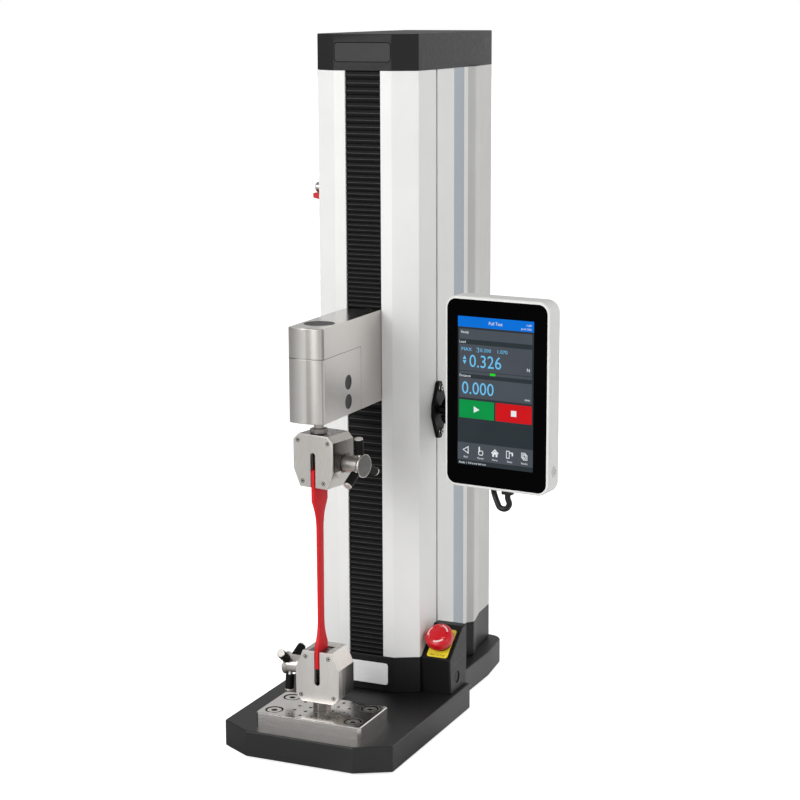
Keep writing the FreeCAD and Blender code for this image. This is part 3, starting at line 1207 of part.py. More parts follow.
def estop_parts():
    plate = new_body("estop_plate")
    sketch = new_sketch(plate)
    rectangle(sketch, "-stop_plate_x / 2", "stop_plate_x / 2", "-stop_plate_y / 2", "stop_plate_y / 2")
    pad(plate, sketch, "stop_plate_thick")
    corners = [(f"{s}stop_plate_x / 2", f"{t}stop_plate_y / 2", None) for s in ("", "-") for t in ("", "-")]
    ease(plate, "Fillet", edges(plate.Tip, corners), "stop_plate_round")
    hole = new_sketch(plate, "XY_Plane", "stop_plate_thick")
    circle(hole, "0", "0", "pod_hole")
    pocket(plate, hole, "stop_plate_thick")
    place(plate, STOP_SPOT, STOP_FRAME)
    low = "-stop_barrel_long"
    turned_piece("estop_barrel", [
        ("stop_stem_radius + 0.1", low), ("stop_barrel_radius", low),
        ("stop_barrel_radius", "stop_plate_thick"),
        ("stop_nut_radius", "stop_plate_thick"), ("stop_nut_radius", "stop_plate_thick + stop_nut_thick"),
        ("stop_stem_radius + 0.1", "stop_plate_thick + stop_nut_thick")], STOP_SPOT, STOP_FRAME)
    turned_piece("estop_stem", [
        ("0", "stop_travel * 0.4 - stop_barrel_long"),
        ("stop_stem_radius", "stop_travel * 0.4 - stop_barrel_long"),
        ("stop_stem_radius", "stop_head_lift + stop_plate_thick"), ("3", "stop_head_lift + stop_plate_thick"),
        ("3", "stop_head_lift + stop_plate_thick + 5"), ("0", "stop_head_lift + stop_plate_thick + 5")],
        STOP_SPOT, STOP_FRAME)
    head = new_body("estop_head")
    base = "stop_head_lift + stop_plate_thick + 0.3"
    sketch = new_sketch(head, "XZ_Plane")
    shoulder = f"{base} + stop_head_edge + stop_head_flank"
    polygon(sketch, [
        ("3.2", base), ("stop_head_radius - stop_head_edge", base),
        ("stop_head_radius", f"{base} + stop_head_edge"),
        ("stop_head_radius", shoulder), ("stop_head_radius - 2.6", f"{shoulder} + 2.6"),
        ("stop_head_radius * 0.45", f"{base} + stop_head_thick - 0.4"), ("0", f"{base} + stop_head_thick"),
        ("0", f"{base} + 5.2"), ("3.2", f"{base} + 5.2")])
    turn(head, sketch)
    place(head, STOP_SPOT, STOP_FRAME)


def pod_plug():
    body = new_body("pod_plug")
    sketch = new_sketch(body, "YZ_Plane", f"{POD_OUTER} - pod_wall / 2")
    circle(sketch, "column_front + pod_plug_y", f"{BASE_TOP} + pod_plug_z", "pod_plug_radius")
    pad(body, sketch, "pod_wall / 2 - pod_plug_sunk")


# Travel limit stop

def limit_stop():
    body = new_body("limit_stop")
    sketch = new_sketch(body, "XZ_Plane", f"-{T_SLOT_Y} - slider_half")
    x0 = "-column_half - slider_fit"
    z0, z1 = "stop_slider_z - slider_tall / 2", "stop_slider_z + slider_tall / 2"
    polygon(sketch, [
        (x0, z0), (x0, z1), (f"{x0} - slider_reach", z1),
        (f"{x0} - slider_reach", f"{z0} + slider_flag_tall"),
        (f"{x0} - slider_flag", f"{z0} + slider_flag_tall"),
        (f"{x0} - slider_flag", f"{z0} + slider_flag_tall * 0.4"),
        (f"{x0} - slider_reach", z0)])
    pad(body, sketch, "2 * slider_half")
    key = new_sketch(body, "YZ_Plane", x0)
    width = "(t_slot_width / 2 - slider_fit)"
    rectangle(key, f"{T_SLOT_Y} - {width}", f"{T_SLOT_Y} + {width}", z0, z1)
    pad(body, key, "slider_key")
    hole = new_sketch(body, "YZ_Plane", f"{x0} - slider_reach")
    circle(hole, T_SLOT_Y, "stop_slider_z + thumb_rise", "1.9")
    pocket(body, hole, "slider_reach - 1", along=True)


def limit_knob():
    body = new_body("limit_knob")
    face = "-column_half - slider_fit - slider_reach"
    sketch = new_sketch(body, "YZ_Plane", f"{face} - 0.3")
    circle(sketch, T_SLOT_Y, "stop_slider_z + thumb_rise", "thumb_radius")
    pad(body, sketch, "thumb_long", back=True)
    ease(body, "Fillet", rim(body.Tip, 0, f"{face} - 0.3 - thumb_long"), "thumb_radius / 3")
    shank = new_sketch(body, "YZ_Plane", f"{face} - 0.3")
    circle(shank, T_SLOT_Y, "stop_slider_z + thumb_rise", "1.85")
    pad(body, shank, "slider_reach - 2")


# Ball mount. The arm's two halves meet on a plane that takes in both ball necks.

BALL_A = Vector(val("column_half + ball_stand"), val(T_SLOT_Y), val("mount_z"))
PANEL_TURN = Rotation(Vector(0, 0, 1), val("panel_turn"))
PANEL_SPOT = Vector(val("panel_x"), val("panel_y"), val("panel_z"))
PANEL_PLACE = Placement(PANEL_SPOT, PANEL_TURN)
BALL_B = PANEL_PLACE.multVec(Vector(0, val("case_deep + ball_stand"), 0))
NECK_A = Vector(-1, 0, 0)
NECK_B = PANEL_TURN.multVec(Vector(0, -1, 0))
ARM_AXIS = (BALL_B - BALL_A).normalize()
SPLIT = (ARM_AXIS.cross(NECK_A).normalize() * -1 + ARM_AXIS.cross(NECK_B).normalize()).normalize()
SPLIT = SPLIT if SPLIT.z > 0 else SPLIT * -1
SPLIT = (SPLIT - ARM_AXIS * SPLIT.dot(ARM_AXIS)).normalize()
ARM_SPAN = (BALL_B - BALL_A).Length
ARM_PLACE = Placement(BALL_A, Rotation(ARM_AXIS, SPLIT.cross(ARM_AXIS), SPLIT, "XZY"))


# Route of the panel's lead: down from its plug, round a small loop, up to the arm, back to the column
LEAD_TO_TIE = [
    (184.6, 62.9, 283.4), (184.6, 62.9, 278.9), (187.2, 63.0, 273.0), (183.0, 63.1, 266.9),
    (175.6, 63.4, 267.8), (171.6, 64.6, 275.6), (166.6, 69.0, 283.6), (162.4, 80.0, 289.4),
    (159.0, 91.0, 297.0), (155.5, 100.0, 307.5), (150.0, 108.0, 318.0), (142.5, 116.0, 328.0),
    (133.0, 124.5, 337.6), (123.0, 134.0, 341.0),
]
LEAD_TO_COLUMN = [
    (122.8, 134.2, 341.06), (112.6, 144.2, 343.9), (107.2, 156.4, 336.6), (106.0, 172.0, 326.0),
    (106.0, 189.0, 316.0), (104.0, 206.0, 311.0), (100.0, 224.0, 310.5), (95.5, 242.0, 314.5),
    (90.5, 257.0, 321.5), (84.0, 267.5, 328.0), (72.8, 270.0, 330.0),
]


def diamond_plate(label, thick):
    body = new_body(label)
    sketch = new_sketch(body)
    end, side = "diamond_end", "diamond_half_y"
    polygon(sketch, [
        ("-diamond_half_z", f"-{end} / 2"), ("-diamond_waist", f"-{side}"), ("diamond_waist", f"-{side}"),
        ("diamond_half_z", f"-{end} / 2"), ("diamond_half_z", f"{end} / 2"), ("diamond_waist", side),
        ("-diamond_waist", side), ("-diamond_half_z", f"{end} / 2")])
    pad(body, sketch, thick)
    return body


def add_ball(body, thick):
    """A neck and a ball on the plate's outer face, turned about the plate's axis."""
    sketch = new_sketch(body, "XZ_Plane")
    drop = "(ball_radius * ball_radius - ball_neck * ball_neck)"
    join = f"ball_stand - sqrt({drop})"
    arc = {2: ("ball_radius", "ball_stand", "ball_stand")}
    polygon(sketch, [
        ("0", f"{thick} * 0.5"), ("ball_neck * 1.1", f"{thick} * 0.5"), ("ball_neck", join),
        ("0", "ball_stand + ball_radius")], arc)
    turn(body, sketch)


def mount_base():
    body = diamond_plate("mount_base", "diamond_thick")
    names = [f"Edge{n}" for n, e in enumerate(body.Tip.Shape.Edges, 1)
             if abs(e.BoundBox.ZMax - e.BoundBox.ZMin) > 1]
    ease(body, "Fillet", names, "diamond_end / 2.5")
    holes = new_sketch(body, "XY_Plane", "diamond_thick")
    for s in ("", "-"):
        circle(holes, f"{s}mount_screw_pitch", "0", "mount_screw_radius * 0.6")
    pocket(body, holes, "diamond_thick")
    add_ball(body, "diamond_thick")
    body.Placement = Placement(Vector(val("column_half"), val(T_SLOT_Y), val("mount_z")),
                               Rotation(Vector(0, 0, 1), Vector(0, 1, 0), Vector(1, 0, 0), "ZXY"))


def mount_screws():
    body = new_body("mount_screws")
    heads = new_sketch(body, "YZ_Plane", "column_half + diamond_thick")
    for s in ("+", "-"):
        circle(heads, T_SLOT_Y, f"mount_z {s} mount_screw_pitch", "mount_screw_radius")
    pad(body, heads, "mount_screw_head")
    face = "column_half + diamond_thick + mount_screw_head"
    ease(body, "Fillet", rim(body.Tip, 0, face), "mount_screw_head * 0.6")
    shanks = new_sketch(body, "YZ_Plane", "column_half + diamond_thick")
    for s in ("+", "-"):
        circle(shanks, T_SLOT_Y, f"mount_z {s} mount_screw_pitch", "t_slot_width / 2 - 0.15")
    pad(body, shanks, "diamond_thick + t_slot_lip", back=True)


def mount_arm(label, side):
    """One half of the arm that clamps both balls."""
    outer, waist, thick = val("socket_radius"), val("arm_waist"), val("arm_thick")
    split, span = val("arm_split / 2"), ARM_SPAN
    body = Part.makeCylinder(outer, thick, Vector(0, 0, split))
    body = body.fuse(Part.makeCylinder(outer, thick, Vector(span, 0, split)))
    bar = Part.makeBox(span, 2 * waist, thick, Vector(0, -waist, split))
    body = body.fuse(bar).removeSplitter()
    top = [e for e in body.Edges if abs(e.BoundBox.ZMin - thick - split) < 1e-6
           and abs(e.BoundBox.ZMax - thick - split) < 1e-6]
    body = body.makeFillet(val("arm_thick") * 0.3, top)
    body = body.cut(Part.makeCylinder(val("clamp_bolt_radius + 0.05"), thick * 3,
                                      Vector(span / 2, 0, -thick * 1.5)))
    if side < 0:
        body = body.mirror(Vector(0, 0, 0), Vector(0, 0, 1))
        body = body.fuse(lead_tie()).removeSplitter()
        body = body.cut(lead_bore())
    for x in (0, span):
        body = body.cut(Part.makeSphere(val("ball_radius + ball_fit"), Vector(x, 0, 0)))
    body = body.cut(neck_relief(BALL_A, NECK_A, Vector(0, 0, 1)))
    body = body.cut(neck_relief(BALL_B, NECK_B, PANEL_TURN.multVec(Vector(1, 0, 0))))
    add_feature(label, body, ARM_PLACE)


def tie_frame():
    """Where the lead is tied to the arm, and which way it runs there, in the arm's own frame."""
    back = ARM_PLACE.inverse()
    spot, before = back.multVec(Vector(*LEAD_TO_TIE[-1])), back.multVec(Vector(*LEAD_TO_TIE[-2]))
    return spot, (spot - before).normalize()


def lead_tie():
    spot, way = tie_frame()
    ring = Part.makeCylinder(val("lead_radius + tie_wall"), val("tie_wide"), spot - way * val("tie_wide / 2"),
                             way)
    root = Vector(spot.x, 0, -val("arm_split / 2 + arm_thick * 0.6"))
    strut = root - spot
    return ring.fuse(Part.makeCylinder(val("tie_wall * 1.5"), strut.Length, spot, strut))


def lead_bore():
    spot, way = tie_frame()
    return Part.makeCylinder(val("lead_radius + 0.3"), val("tie_wide * 3"),
                             spot - way * val("tie_wide * 1.5"), way)


def neck_relief(ball, neck, hinge):
    """Slot in the socket that lets the ball's neck swing both ways, in the arm's own frame."""
    room, reach = val("neck_room"), val("ball_stand")
    side = neck.cross(hinge).normalize() * room
    lean = Rotation(hinge, val("neck_swing")).multVec(neck) * reach
    other = Rotation(hinge, -val("neck_swing")).multVec(neck) * reach
    if lean.dot(side) < 0:
        lean, other = other, lean
    corners = [ball - side, ball + side, ball + side + lean, ball - side + other]
    low = hinge * -room
    face = Part.Face(Part.makePolygon([c + low for c in corners + corners[:1]]))
    return face.extrude(hinge * (2 * room)).transformed(ARM_PLACE.inverse().toMatrix())


def clamp_knob():
    thick = val("arm_split / 2 + arm_thick")
    radius, wide = val("wing_radius"), val("wing_half")
    gap, tall = val("wing_gap"), val("wing_thick")
    hub = Part.makeCone(radius, radius * 0.8, tall, Vector(0, 0, thick + gap))
    wing = Part.makeBox(2 * wide, radius * 0.7, tall * 1.2,
                        Vector(-wide, -radius * 0.35, thick + gap + tall * 0.3))
    upright = [e for e in wing.Edges if abs(e.BoundBox.ZMax - e.BoundBox.ZMin) > 1]
    wing = wing.makeFillet(radius * 0.3, upright)
    bolt = Part.makeCylinder(val("clamp_bolt_radius"), 2 * thick + 2 * gap, Vector(0, 0, -thick - gap))
    head = Part.makeCylinder(val("bolt_head_radius"), val("bolt_head_thick"),
                             Vector(0, 0, -thick - gap - val("bolt_head_thick")))
    shape = hub.fuse([wing, bolt, head]).removeSplitter()
    add_feature("mount_clamp_knob", shape,
                ARM_PLACE.multiply(Placement(Vector(ARM_SPAN / 2, 0, 0), Rotation())))


# Touch panel, drawn about the middle of its display and facing -Y

def panel_case():
    body = new_body("panel_case")
    sketch = new_sketch(body, "XZ_Plane", "0")
    rectangle(sketch, "-case_half_x", "case_half_x", "-case_down", "case_up")
    pad(body, sketch, "case_deep", back=True)
    corners = [(f"{s}case_half_x", None, t) for s in ("", "-") for t in ("-case_down", "case_up")]
    ease(body, "Fillet", edges(body.Tip, corners), "case_round")
    ease(body, "Fillet", rim(body.Tip, 1, "case_deep"), "case_edge")
    ease(body, "Fillet", rim(body.Tip, 1, "0"), "case_edge / 2")
    seat = new_sketch(body, "XZ_Plane", "0")
    rounded_rectangle(seat, "-glass_half_x - glass_gap", "glass_half_x + glass_gap",
                      "-glass_down - glass_gap", "glass_up + glass_gap", "glass_round")
    pocket(body, seat, "glass_thick")
    hole = new_sketch(body, "YZ_Plane", "case_half_x")
    circle(hole, "button_back", "-button_low", "button_radius + button_fit")
    pocket(body, hole, "button_deep + button_travel + 0.3")
    body.Placement = PANEL_PLACE


def panel_glass():
    body = new_body("panel_glass")
    sketch = new_sketch(body, "XZ_Plane", "-glass_thick")
    rectangle(sketch, "-glass_half_x", "glass_half_x", "-glass_down", "glass_up")
    pad(body, sketch, "glass_thick")
    corners = [(f"{s}glass_half_x", None, t) for s in ("", "-") for t in ("-glass_down", "glass_up")]
    ease(body, "Fillet", edges(body.Tip, corners), "glass_round - glass_gap")
    body.Placement = PANEL_PLACE


def panel_button():
    body = new_body("panel_button")
    sketch = new_sketch(body, "YZ_Plane", "case_half_x - button_deep")
    circle(sketch, "button_back", "-button_low", "button_radius")
    pad(body, sketch, "button_deep + button_proud")
    ease(body, "Fillet", rim(body.Tip, 0, "case_half_x + button_proud"), "button_proud")
    body.Placement = PANEL_PLACE


def panel_ball():
    body = new_body("panel_ball")
    sketch = new_sketch(body)
    circle(sketch, "0", "0", "back_plate_radius")
    pad(body, sketch, "back_plate_thick")
    ease(body, "Chamfer", rim(body.Tip, 2, "back_plate_thick"), "back_plate_thick / 3")
    add_ball(body, "back_plate_thick")
    face = Placement(Vector(0, val("case_deep"), 0), Rotation(Vector(1, 0, 0), -90))
    body.Placement = PANEL_PLACE.multiply(face)


# Lead of the touch panel

def lead(label, route):
    """Straight runs joined by tangent arcs, swept by a round section."""
    spots = [Vector(*p) for p in route]
    pieces = []
    start = spots[0]
    for i in range(1, len(spots) - 1):
        before, after = spots[i] - spots[i - 1], spots[i + 1] - spots[i]
        angle = before.getAngle(after)
        cut = 0.45 * min(before.Length, after.Length)
        first = spots[i] - before.normalize() * cut
        last = spots[i] + after.normalize() * cut
        radius = cut / math.tan(angle / 2)
        inward = ((first - spots[i]).normalize() + (last - spots[i]).normalize()).normalize()
        middle = spots[i] + inward * (radius / math.cos(angle / 2) - radius)
        pieces.append(Part.LineSegment(start, first).toShape())
        pieces.append(Part.Arc(first, middle, last).toShape())
        print(f"{label} bend {i}: radius {radius:.1f}")
        start = last
    pieces.append(Part.LineSegment(start, spots[-1]).toShape())
    path = Part.Wire(pieces)
    way = (spots[1] - spots[0]).normalize()
    ring = Part.Wire(Part.makeCircle(val("lead_radius"), spots[0], way))
    tube = path.makePipeShell([ring], True, False)
    share = tube.Volume / (path.Length * math.pi * val("lead_radius") ** 2)
    print(f"{label}: length {path.Length:.1f}, volume share {share:.4f}")
    add_feature(label, tube, Placement())


def lead_fittings():
    plug = new_body("lead_plug")
    sketch = new_sketch(plug, "XY_Plane", "-case_down - plug_long")
    rectangle(sketch, "-plug_half_x", "plug_half_x", "-plug_half_y", "plug_half_y")
    pad(plug, sketch, "plug_long")
    upright = [(f"{s}plug_half_x", f"{t}plug_half_y", None) for s in ("", "-") for t in ("", "-")]
    ease(plug, "Fillet", edges(plug.Tip, upright), "plug_half_y / 2")
    plug.Placement = PANEL_PLACE.multiply(Placement(Vector(val("plug_x"), val("plug_y"), 0), Rotation()))
    gland = new_body("lead_gland")
    seat = new_sketch(gland, "YZ_Plane", "flare_half")
    middle = f"{COLUMN_BACK} + flare_run + flare_flat / 2"
    circle(seat, middle, "gland_z", "gland_radius")
    circle(seat, middle, "gland_z", "lead_radius + 0.1")
    pad(gland, seat, "gland_long")
    ease(gland, "Chamfer", rim(gland.Tip, 0, "flare_half + gland_long"), "gland_edge")


# Electrics

def control_board():
    body = new_body("control_board")
    back = f"{COLUMN_BACK} - board_post"
    sketch = new_sketch(body, "XZ_Plane", f"-({back})")
    low = f"{COLUMN_BOTTOM} + board_lift"
    rectangle(sketch, "-board_half", "board_half", low, f"{low} + board_tall")
    pad(body, sketch, "board_thick")
    posts = new_sketch(body, "XZ_Plane", f"-({back})")
    for s in ("", "-"):
        for z in (f"{low} + 6", f"{low} + board_tall - 6"):
            circle(posts, f"{s}(board_half - 6)", z, "3")
    pad(body, posts, "board_post", back=True)


def power_inlet():
    body = new_body("power_inlet")
    sketch = new_sketch(body, "XZ_Plane", f"-{COVER_BACK} - inlet_flange")
    over = "inlet_flange_over"
    rectangle(sketch, f"-inlet_half_x - {over}", f"inlet_half_x + {over}", f"inlet_z - inlet_half_z - {over}",
              f"inlet_z + inlet_half_z + {over}")
    pad(body, sketch, "inlet_flange")
    box = new_sketch(body, "XZ_Plane", f"-{COVER_BACK}")
    rectangle(box, "-inlet_half_x", "inlet_half_x", "inlet_z - inlet_half_z", "inlet_z + inlet_half_z")
    pad(body, box, "inlet_deep")
    well = new_sketch(body, "XZ_Plane", f"-{COVER_BACK} - inlet_flange")
    polygon(well, [("2 - inlet_half_x", "inlet_z - inlet_half_z + 2"),
                   ("inlet_half_x - 6", "inlet_z - inlet_half_z + 2"),
                   ("inlet_half_x - 2", "inlet_z - inlet_half_z + 8"),
                   ("inlet_half_x - 2", "inlet_z + inlet_half_z - 8"),
                   ("inlet_half_x - 6", "inlet_z + inlet_half_z - 2"),
                   ("2 - inlet_half_x", "inlet_z + inlet_half_z - 2")])
    pocket(body, well, "inlet_deep - 4", along=True)
    pins = new_sketch(body, "XZ_Plane", f"-{COVER_BACK} + inlet_deep - 6")
    for x, z in (("-4", "-8"), ("3", "0"), ("-4", "8")):
        rectangle(pins, f"{x} - 2", f"{x} + 2", f"inlet_z + {z} - 1", f"inlet_z + {z} + 1")
    pad(body, pins, "inlet_deep - 10", back=True)


def power_switch():
    frame = new_body("switch_frame")
    lip = new_sketch(frame, "XZ_Plane", f"-{COVER_BACK} - inlet_flange")
    rectangle(lip, "-frame_half_x - 2", "frame_half_x + 2", "rocker_z - frame_half_z - 2",
              "rocker_z + frame_half_z + 2")
    pad(frame, lip, "inlet_flange")
    box = new_sketch(frame, "XZ_Plane", f"-{COVER_BACK}")
    rectangle(box, "-frame_half_x", "frame_half_x", "rocker_z - frame_half_z", "rocker_z + frame_half_z")
    pad(frame, box, "frame_deep")
    well = new_sketch(frame, "XZ_Plane", f"-{COVER_BACK} - inlet_flange")
    rectangle(well, "-rocker_half_x - 0.4", "rocker_half_x + 0.4", "rocker_z - rocker_half_z - 1.2",
              "rocker_z + rocker_half_z + 1.2")
    pocket(frame, well, "frame_deep - 3", along=True)
    rocker = new_body("switch_rocker")
    sketch = new_sketch(rocker, "YZ_Plane", "-rocker_half_x")
    polygon(sketch, [
        (f"{COVER_BACK} - 5", "rocker_z - 3"), (f"{COVER_BACK} - 0.5", "rocker_z - rocker_half_z"),
        (f"{COVER_BACK} + 3.4", "rocker_z - rocker_half_z + 0.6"), (f"{COVER_BACK} + 2.1", "rocker_z"),
        (f"{COVER_BACK} + 3.4", "rocker_z + rocker_half_z - 0.6"),
        (f"{COVER_BACK} - 0.5", "rocker_z + rocker_half_z"),
        (f"{COVER_BACK} - 5", "rocker_z + 3")])
    pad(rocker, sketch, "2 * rocker_half_x")


JOINED = {
    "column_profile": ("column_left", "column_right"),
    "bearing_plate": ("top_plate", "screw_bearings"),
    "ball_screw_shaft": ("ball_screw", "screw_pulley"),
    "motor_rotor": ("motor_shaft", "motor_pulley"),
    "front_plates": ("cap_badge", "front_label"),
    "arm_plugs": ("load_cell_plugs", "arm_top_disc"),
    "upper_stud_nut": ("upper_stud", "upper_jam_nut"),
    "lower_stud_nut": ("lower_stud", "lower_jam_nut"),
    "upper_grip_front": ("upper_grip_cover", "upper_grip_screws"),
    "lower_grip_front": ("lower_grip_cover", "lower_grip_screws"),
    "estop_pod": ("estop_housing", "pod_plug"),
    "estop_block": ("estop_plate", "estop_barrel"),
    "ball_base": ("mount_base", "mount_screws"),
    "rear_frame_gland": ("rear_frame", "lead_gland"),
    "mains_inlet": ("power_inlet", "switch_frame"),
}


def join_fixed_pieces():
    """Pieces of one material that are screwed or pressed together share one node."""
    for label, names in JOINED.items():
        group = doc.addObject("Part::Compound", label)
        group.Label = label
        group.Links = [piece for piece in subparts if piece.Label in names]
        for piece in group.Links:
            subparts.remove(piece)
        subparts.append(group)


def build():
    base_casting()
    feet()
    base_plate()
    base_plate_screws()
    column_foot()
    column_half_profile("column_left", -1)
    column_half_profile("column_right", 1)
    side_strips()
    rear_frame()
    rear_cover()
    top_cap()
    cap_badge()
    front_label()
    top_plate()
    screw_bearings()
    ball_screw()
    pulley("screw_pulley", DRIVE_Y, "pulley_radius", "screw_radius", "screw_radius + 5")
    pulley("motor_pulley", MOTOR_Y, "motor_pulley_radius", "motor_shaft_radius", "motor_shaft_radius + 3")
    motor()
    motor_shaft()
    drive_belt()
    guide_rails()
    rail_shoes()
    carriage()
    ball_nut()
    bellows("bellows_upper", ARM_TOP, COLUMN_TOP, "upper_pleats")
    bellows("bellows_lower", COLUMN_BOTTOM, "arm_bottom", "lower_pleats")
    crosshead_arm()
    load_cell()
    load_cell_plugs()
    arm_top_disc()
    top_of_upper = f"{UPPER_GRIP_END} + grip_tall"
    stud("upper_stud", f"{top_of_upper} - stud_grip", "arm_bottom + stud_cell")
    jam_nut("upper_jam_nut", top_of_upper, f"{top_of_upper} + stud_grip")
    bottom_of_lower = "lower_grip_top - grip_tall"
    stud("lower_stud", f"{PLATE_TOP} - plate_thick + 1", f"{bottom_of_lower} + stud_grip")
    jam_nut("lower_jam_nut", PLATE_TOP, bottom_of_lower)
    grip("lower", Placement(Vector(0, 0, val("lower_grip_top")), Rotation()), "lower_handle_turn")
    upside_down = Rotation(Vector(0, 0, 1), val("upper_grip_turn")).multiply(Rotation(Vector(0, 1, 0), 180))
    grip("upper", Placement(Vector(0, 0, val(UPPER_GRIP_END)), upside_down), "upper_handle_turn")
    specimen()
    estop_housing()
    estop_parts()
    pod_plug()
    limit_stop()
    limit_knob()
    mount_base()
    mount_screws()
    mount_arm("mount_arm_upper", 1)
    mount_arm("mount_arm_lower", -1)
    clamp_knob()
    panel_case()
    panel_glass()
    panel_button()
    panel_ball()
    lead_fittings()
    lead("lead_to_tie", LEAD_TO_TIE)
    lead("lead_to_column", LEAD_TO_COLUMN)
    control_board()
    power_inlet()
    power_switch()
    join_fixed_pieces()


def check_and_write():
    doc.recompute()
    for item in doc.Objects:
        if {"Invalid", "Error"} & set(item.State):
            raise RuntimeError(f"{item.Label} did not build: {item.State}")
    labels = [piece.Label for piece in subparts]
    if len(labels) != len(set(labels)):
        raise RuntimeError("two sub-parts share a label")
    for piece in subparts:
        shape = piece.Shape
        if shape.isNull() or not shape.isValid() or not shape.Solids:
            raise RuntimeError(f"{piece.Label} has no sound solid")
        shape.exportStep(f"parts/{piece.Label}.step")
    print(len(subparts), "sub-parts written")


build()
check_and_write()
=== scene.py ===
"""Looks of a motorised force test stand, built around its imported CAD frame."""
from __future__ import annotations

import json
import logging
import math
from contextlib import contextmanager
from dataclasses import dataclass
from enum import Enum
from typing import Iterable, Iterator, Sequence

import bmesh
import bpy
from mathutils import Matrix, Vector

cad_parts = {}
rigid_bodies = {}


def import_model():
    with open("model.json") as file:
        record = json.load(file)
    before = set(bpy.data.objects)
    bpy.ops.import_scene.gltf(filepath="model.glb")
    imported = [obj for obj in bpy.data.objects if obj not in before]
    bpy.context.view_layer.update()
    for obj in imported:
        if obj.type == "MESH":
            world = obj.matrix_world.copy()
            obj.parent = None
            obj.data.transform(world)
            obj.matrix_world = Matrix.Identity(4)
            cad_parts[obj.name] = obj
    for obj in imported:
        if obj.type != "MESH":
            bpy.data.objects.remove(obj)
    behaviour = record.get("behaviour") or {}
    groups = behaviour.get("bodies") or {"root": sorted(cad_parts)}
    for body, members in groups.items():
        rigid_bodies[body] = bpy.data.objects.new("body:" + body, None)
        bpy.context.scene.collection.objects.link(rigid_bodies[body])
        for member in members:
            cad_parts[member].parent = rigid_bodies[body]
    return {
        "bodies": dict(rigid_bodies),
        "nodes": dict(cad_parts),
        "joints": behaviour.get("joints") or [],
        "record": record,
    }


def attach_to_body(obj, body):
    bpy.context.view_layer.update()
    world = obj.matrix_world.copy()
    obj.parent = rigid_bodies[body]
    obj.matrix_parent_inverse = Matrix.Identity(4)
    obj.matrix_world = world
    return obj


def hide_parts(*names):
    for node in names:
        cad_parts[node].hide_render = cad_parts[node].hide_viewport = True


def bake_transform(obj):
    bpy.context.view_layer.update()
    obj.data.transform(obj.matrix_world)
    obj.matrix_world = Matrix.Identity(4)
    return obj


LOG = logging.getLogger("stand")
MM = 0.001
frame: dict = {}
Material = bpy.types.Material
Object = bpy.types.Object
Node = bpy.types.Node
Socket = bpy.types.NodeSocket
Outline = Sequence[tuple[float, float]]
Tones = Sequence[tuple[float, str]]
# The noise pattern keeps mostly to the middle half of its range
MIDDLE = {"From Min": 0.25, "From Max": 0.75}
# Upward share of a normal, from which a face counts as a top
NEARLY_FLAT = {"From Min": 0.9, "From Max": 0.98}


# Colours and node materials

def srgb(code: str) -> tuple[float, float, float, float]:
    """Linear colour of a screen colour.

    Args:
        code: six hexadecimal digits, red first.
    Returns:
        Red, green, blue and an alpha of one.
    """
    channels = [int(code[i:i + 2], 16) / 255 for i in (0, 2, 4)]
    linear = [c / 12.92 if c <= 0.04045 else ((c + 0.055) / 1.055) ** 2.4 for c in channels]
    return (*linear, 1.0)


class Network:
    """Adds nodes to one node tree."""

    def __init__(self, tree: bpy.types.NodeTree) -> None:
        """Keeps the tree's nodes and links at hand."""
        self.nodes, self.links = tree.nodes, tree.links

    def add(self, kind: str, sockets: dict | None = None, **settings: object) -> Node:
        """Adds a node.

        Args:
            kind: Blender's name for the node.
            sockets: a value, a node or a node's output for each input, by name or number.
            settings: options of the node.
        Returns:
            The node.
        """
        node = self.nodes.new(kind)
        for key, value in settings.items():
            setattr(node, key, value)
        for key, value in (sockets or {}).items():
            self.put(node, key, value)
        return node

    def put(self, node: Node, key: str | int, value: object) -> None:
        """Links an input to an output, or to a node's first live output, and sets it otherwise.

        Args:
            node: owner of the input.
            key: name or number of the input.
            value: a node, an output or a plain value.
        """
        if isinstance(value, bpy.types.Node):
            value = next(output for output in value.outputs if output.enabled)
        if isinstance(value, bpy.types.NodeSocket):
            self.links.new(value, node.inputs[key])
        else:
            node.inputs[key].default_value = value


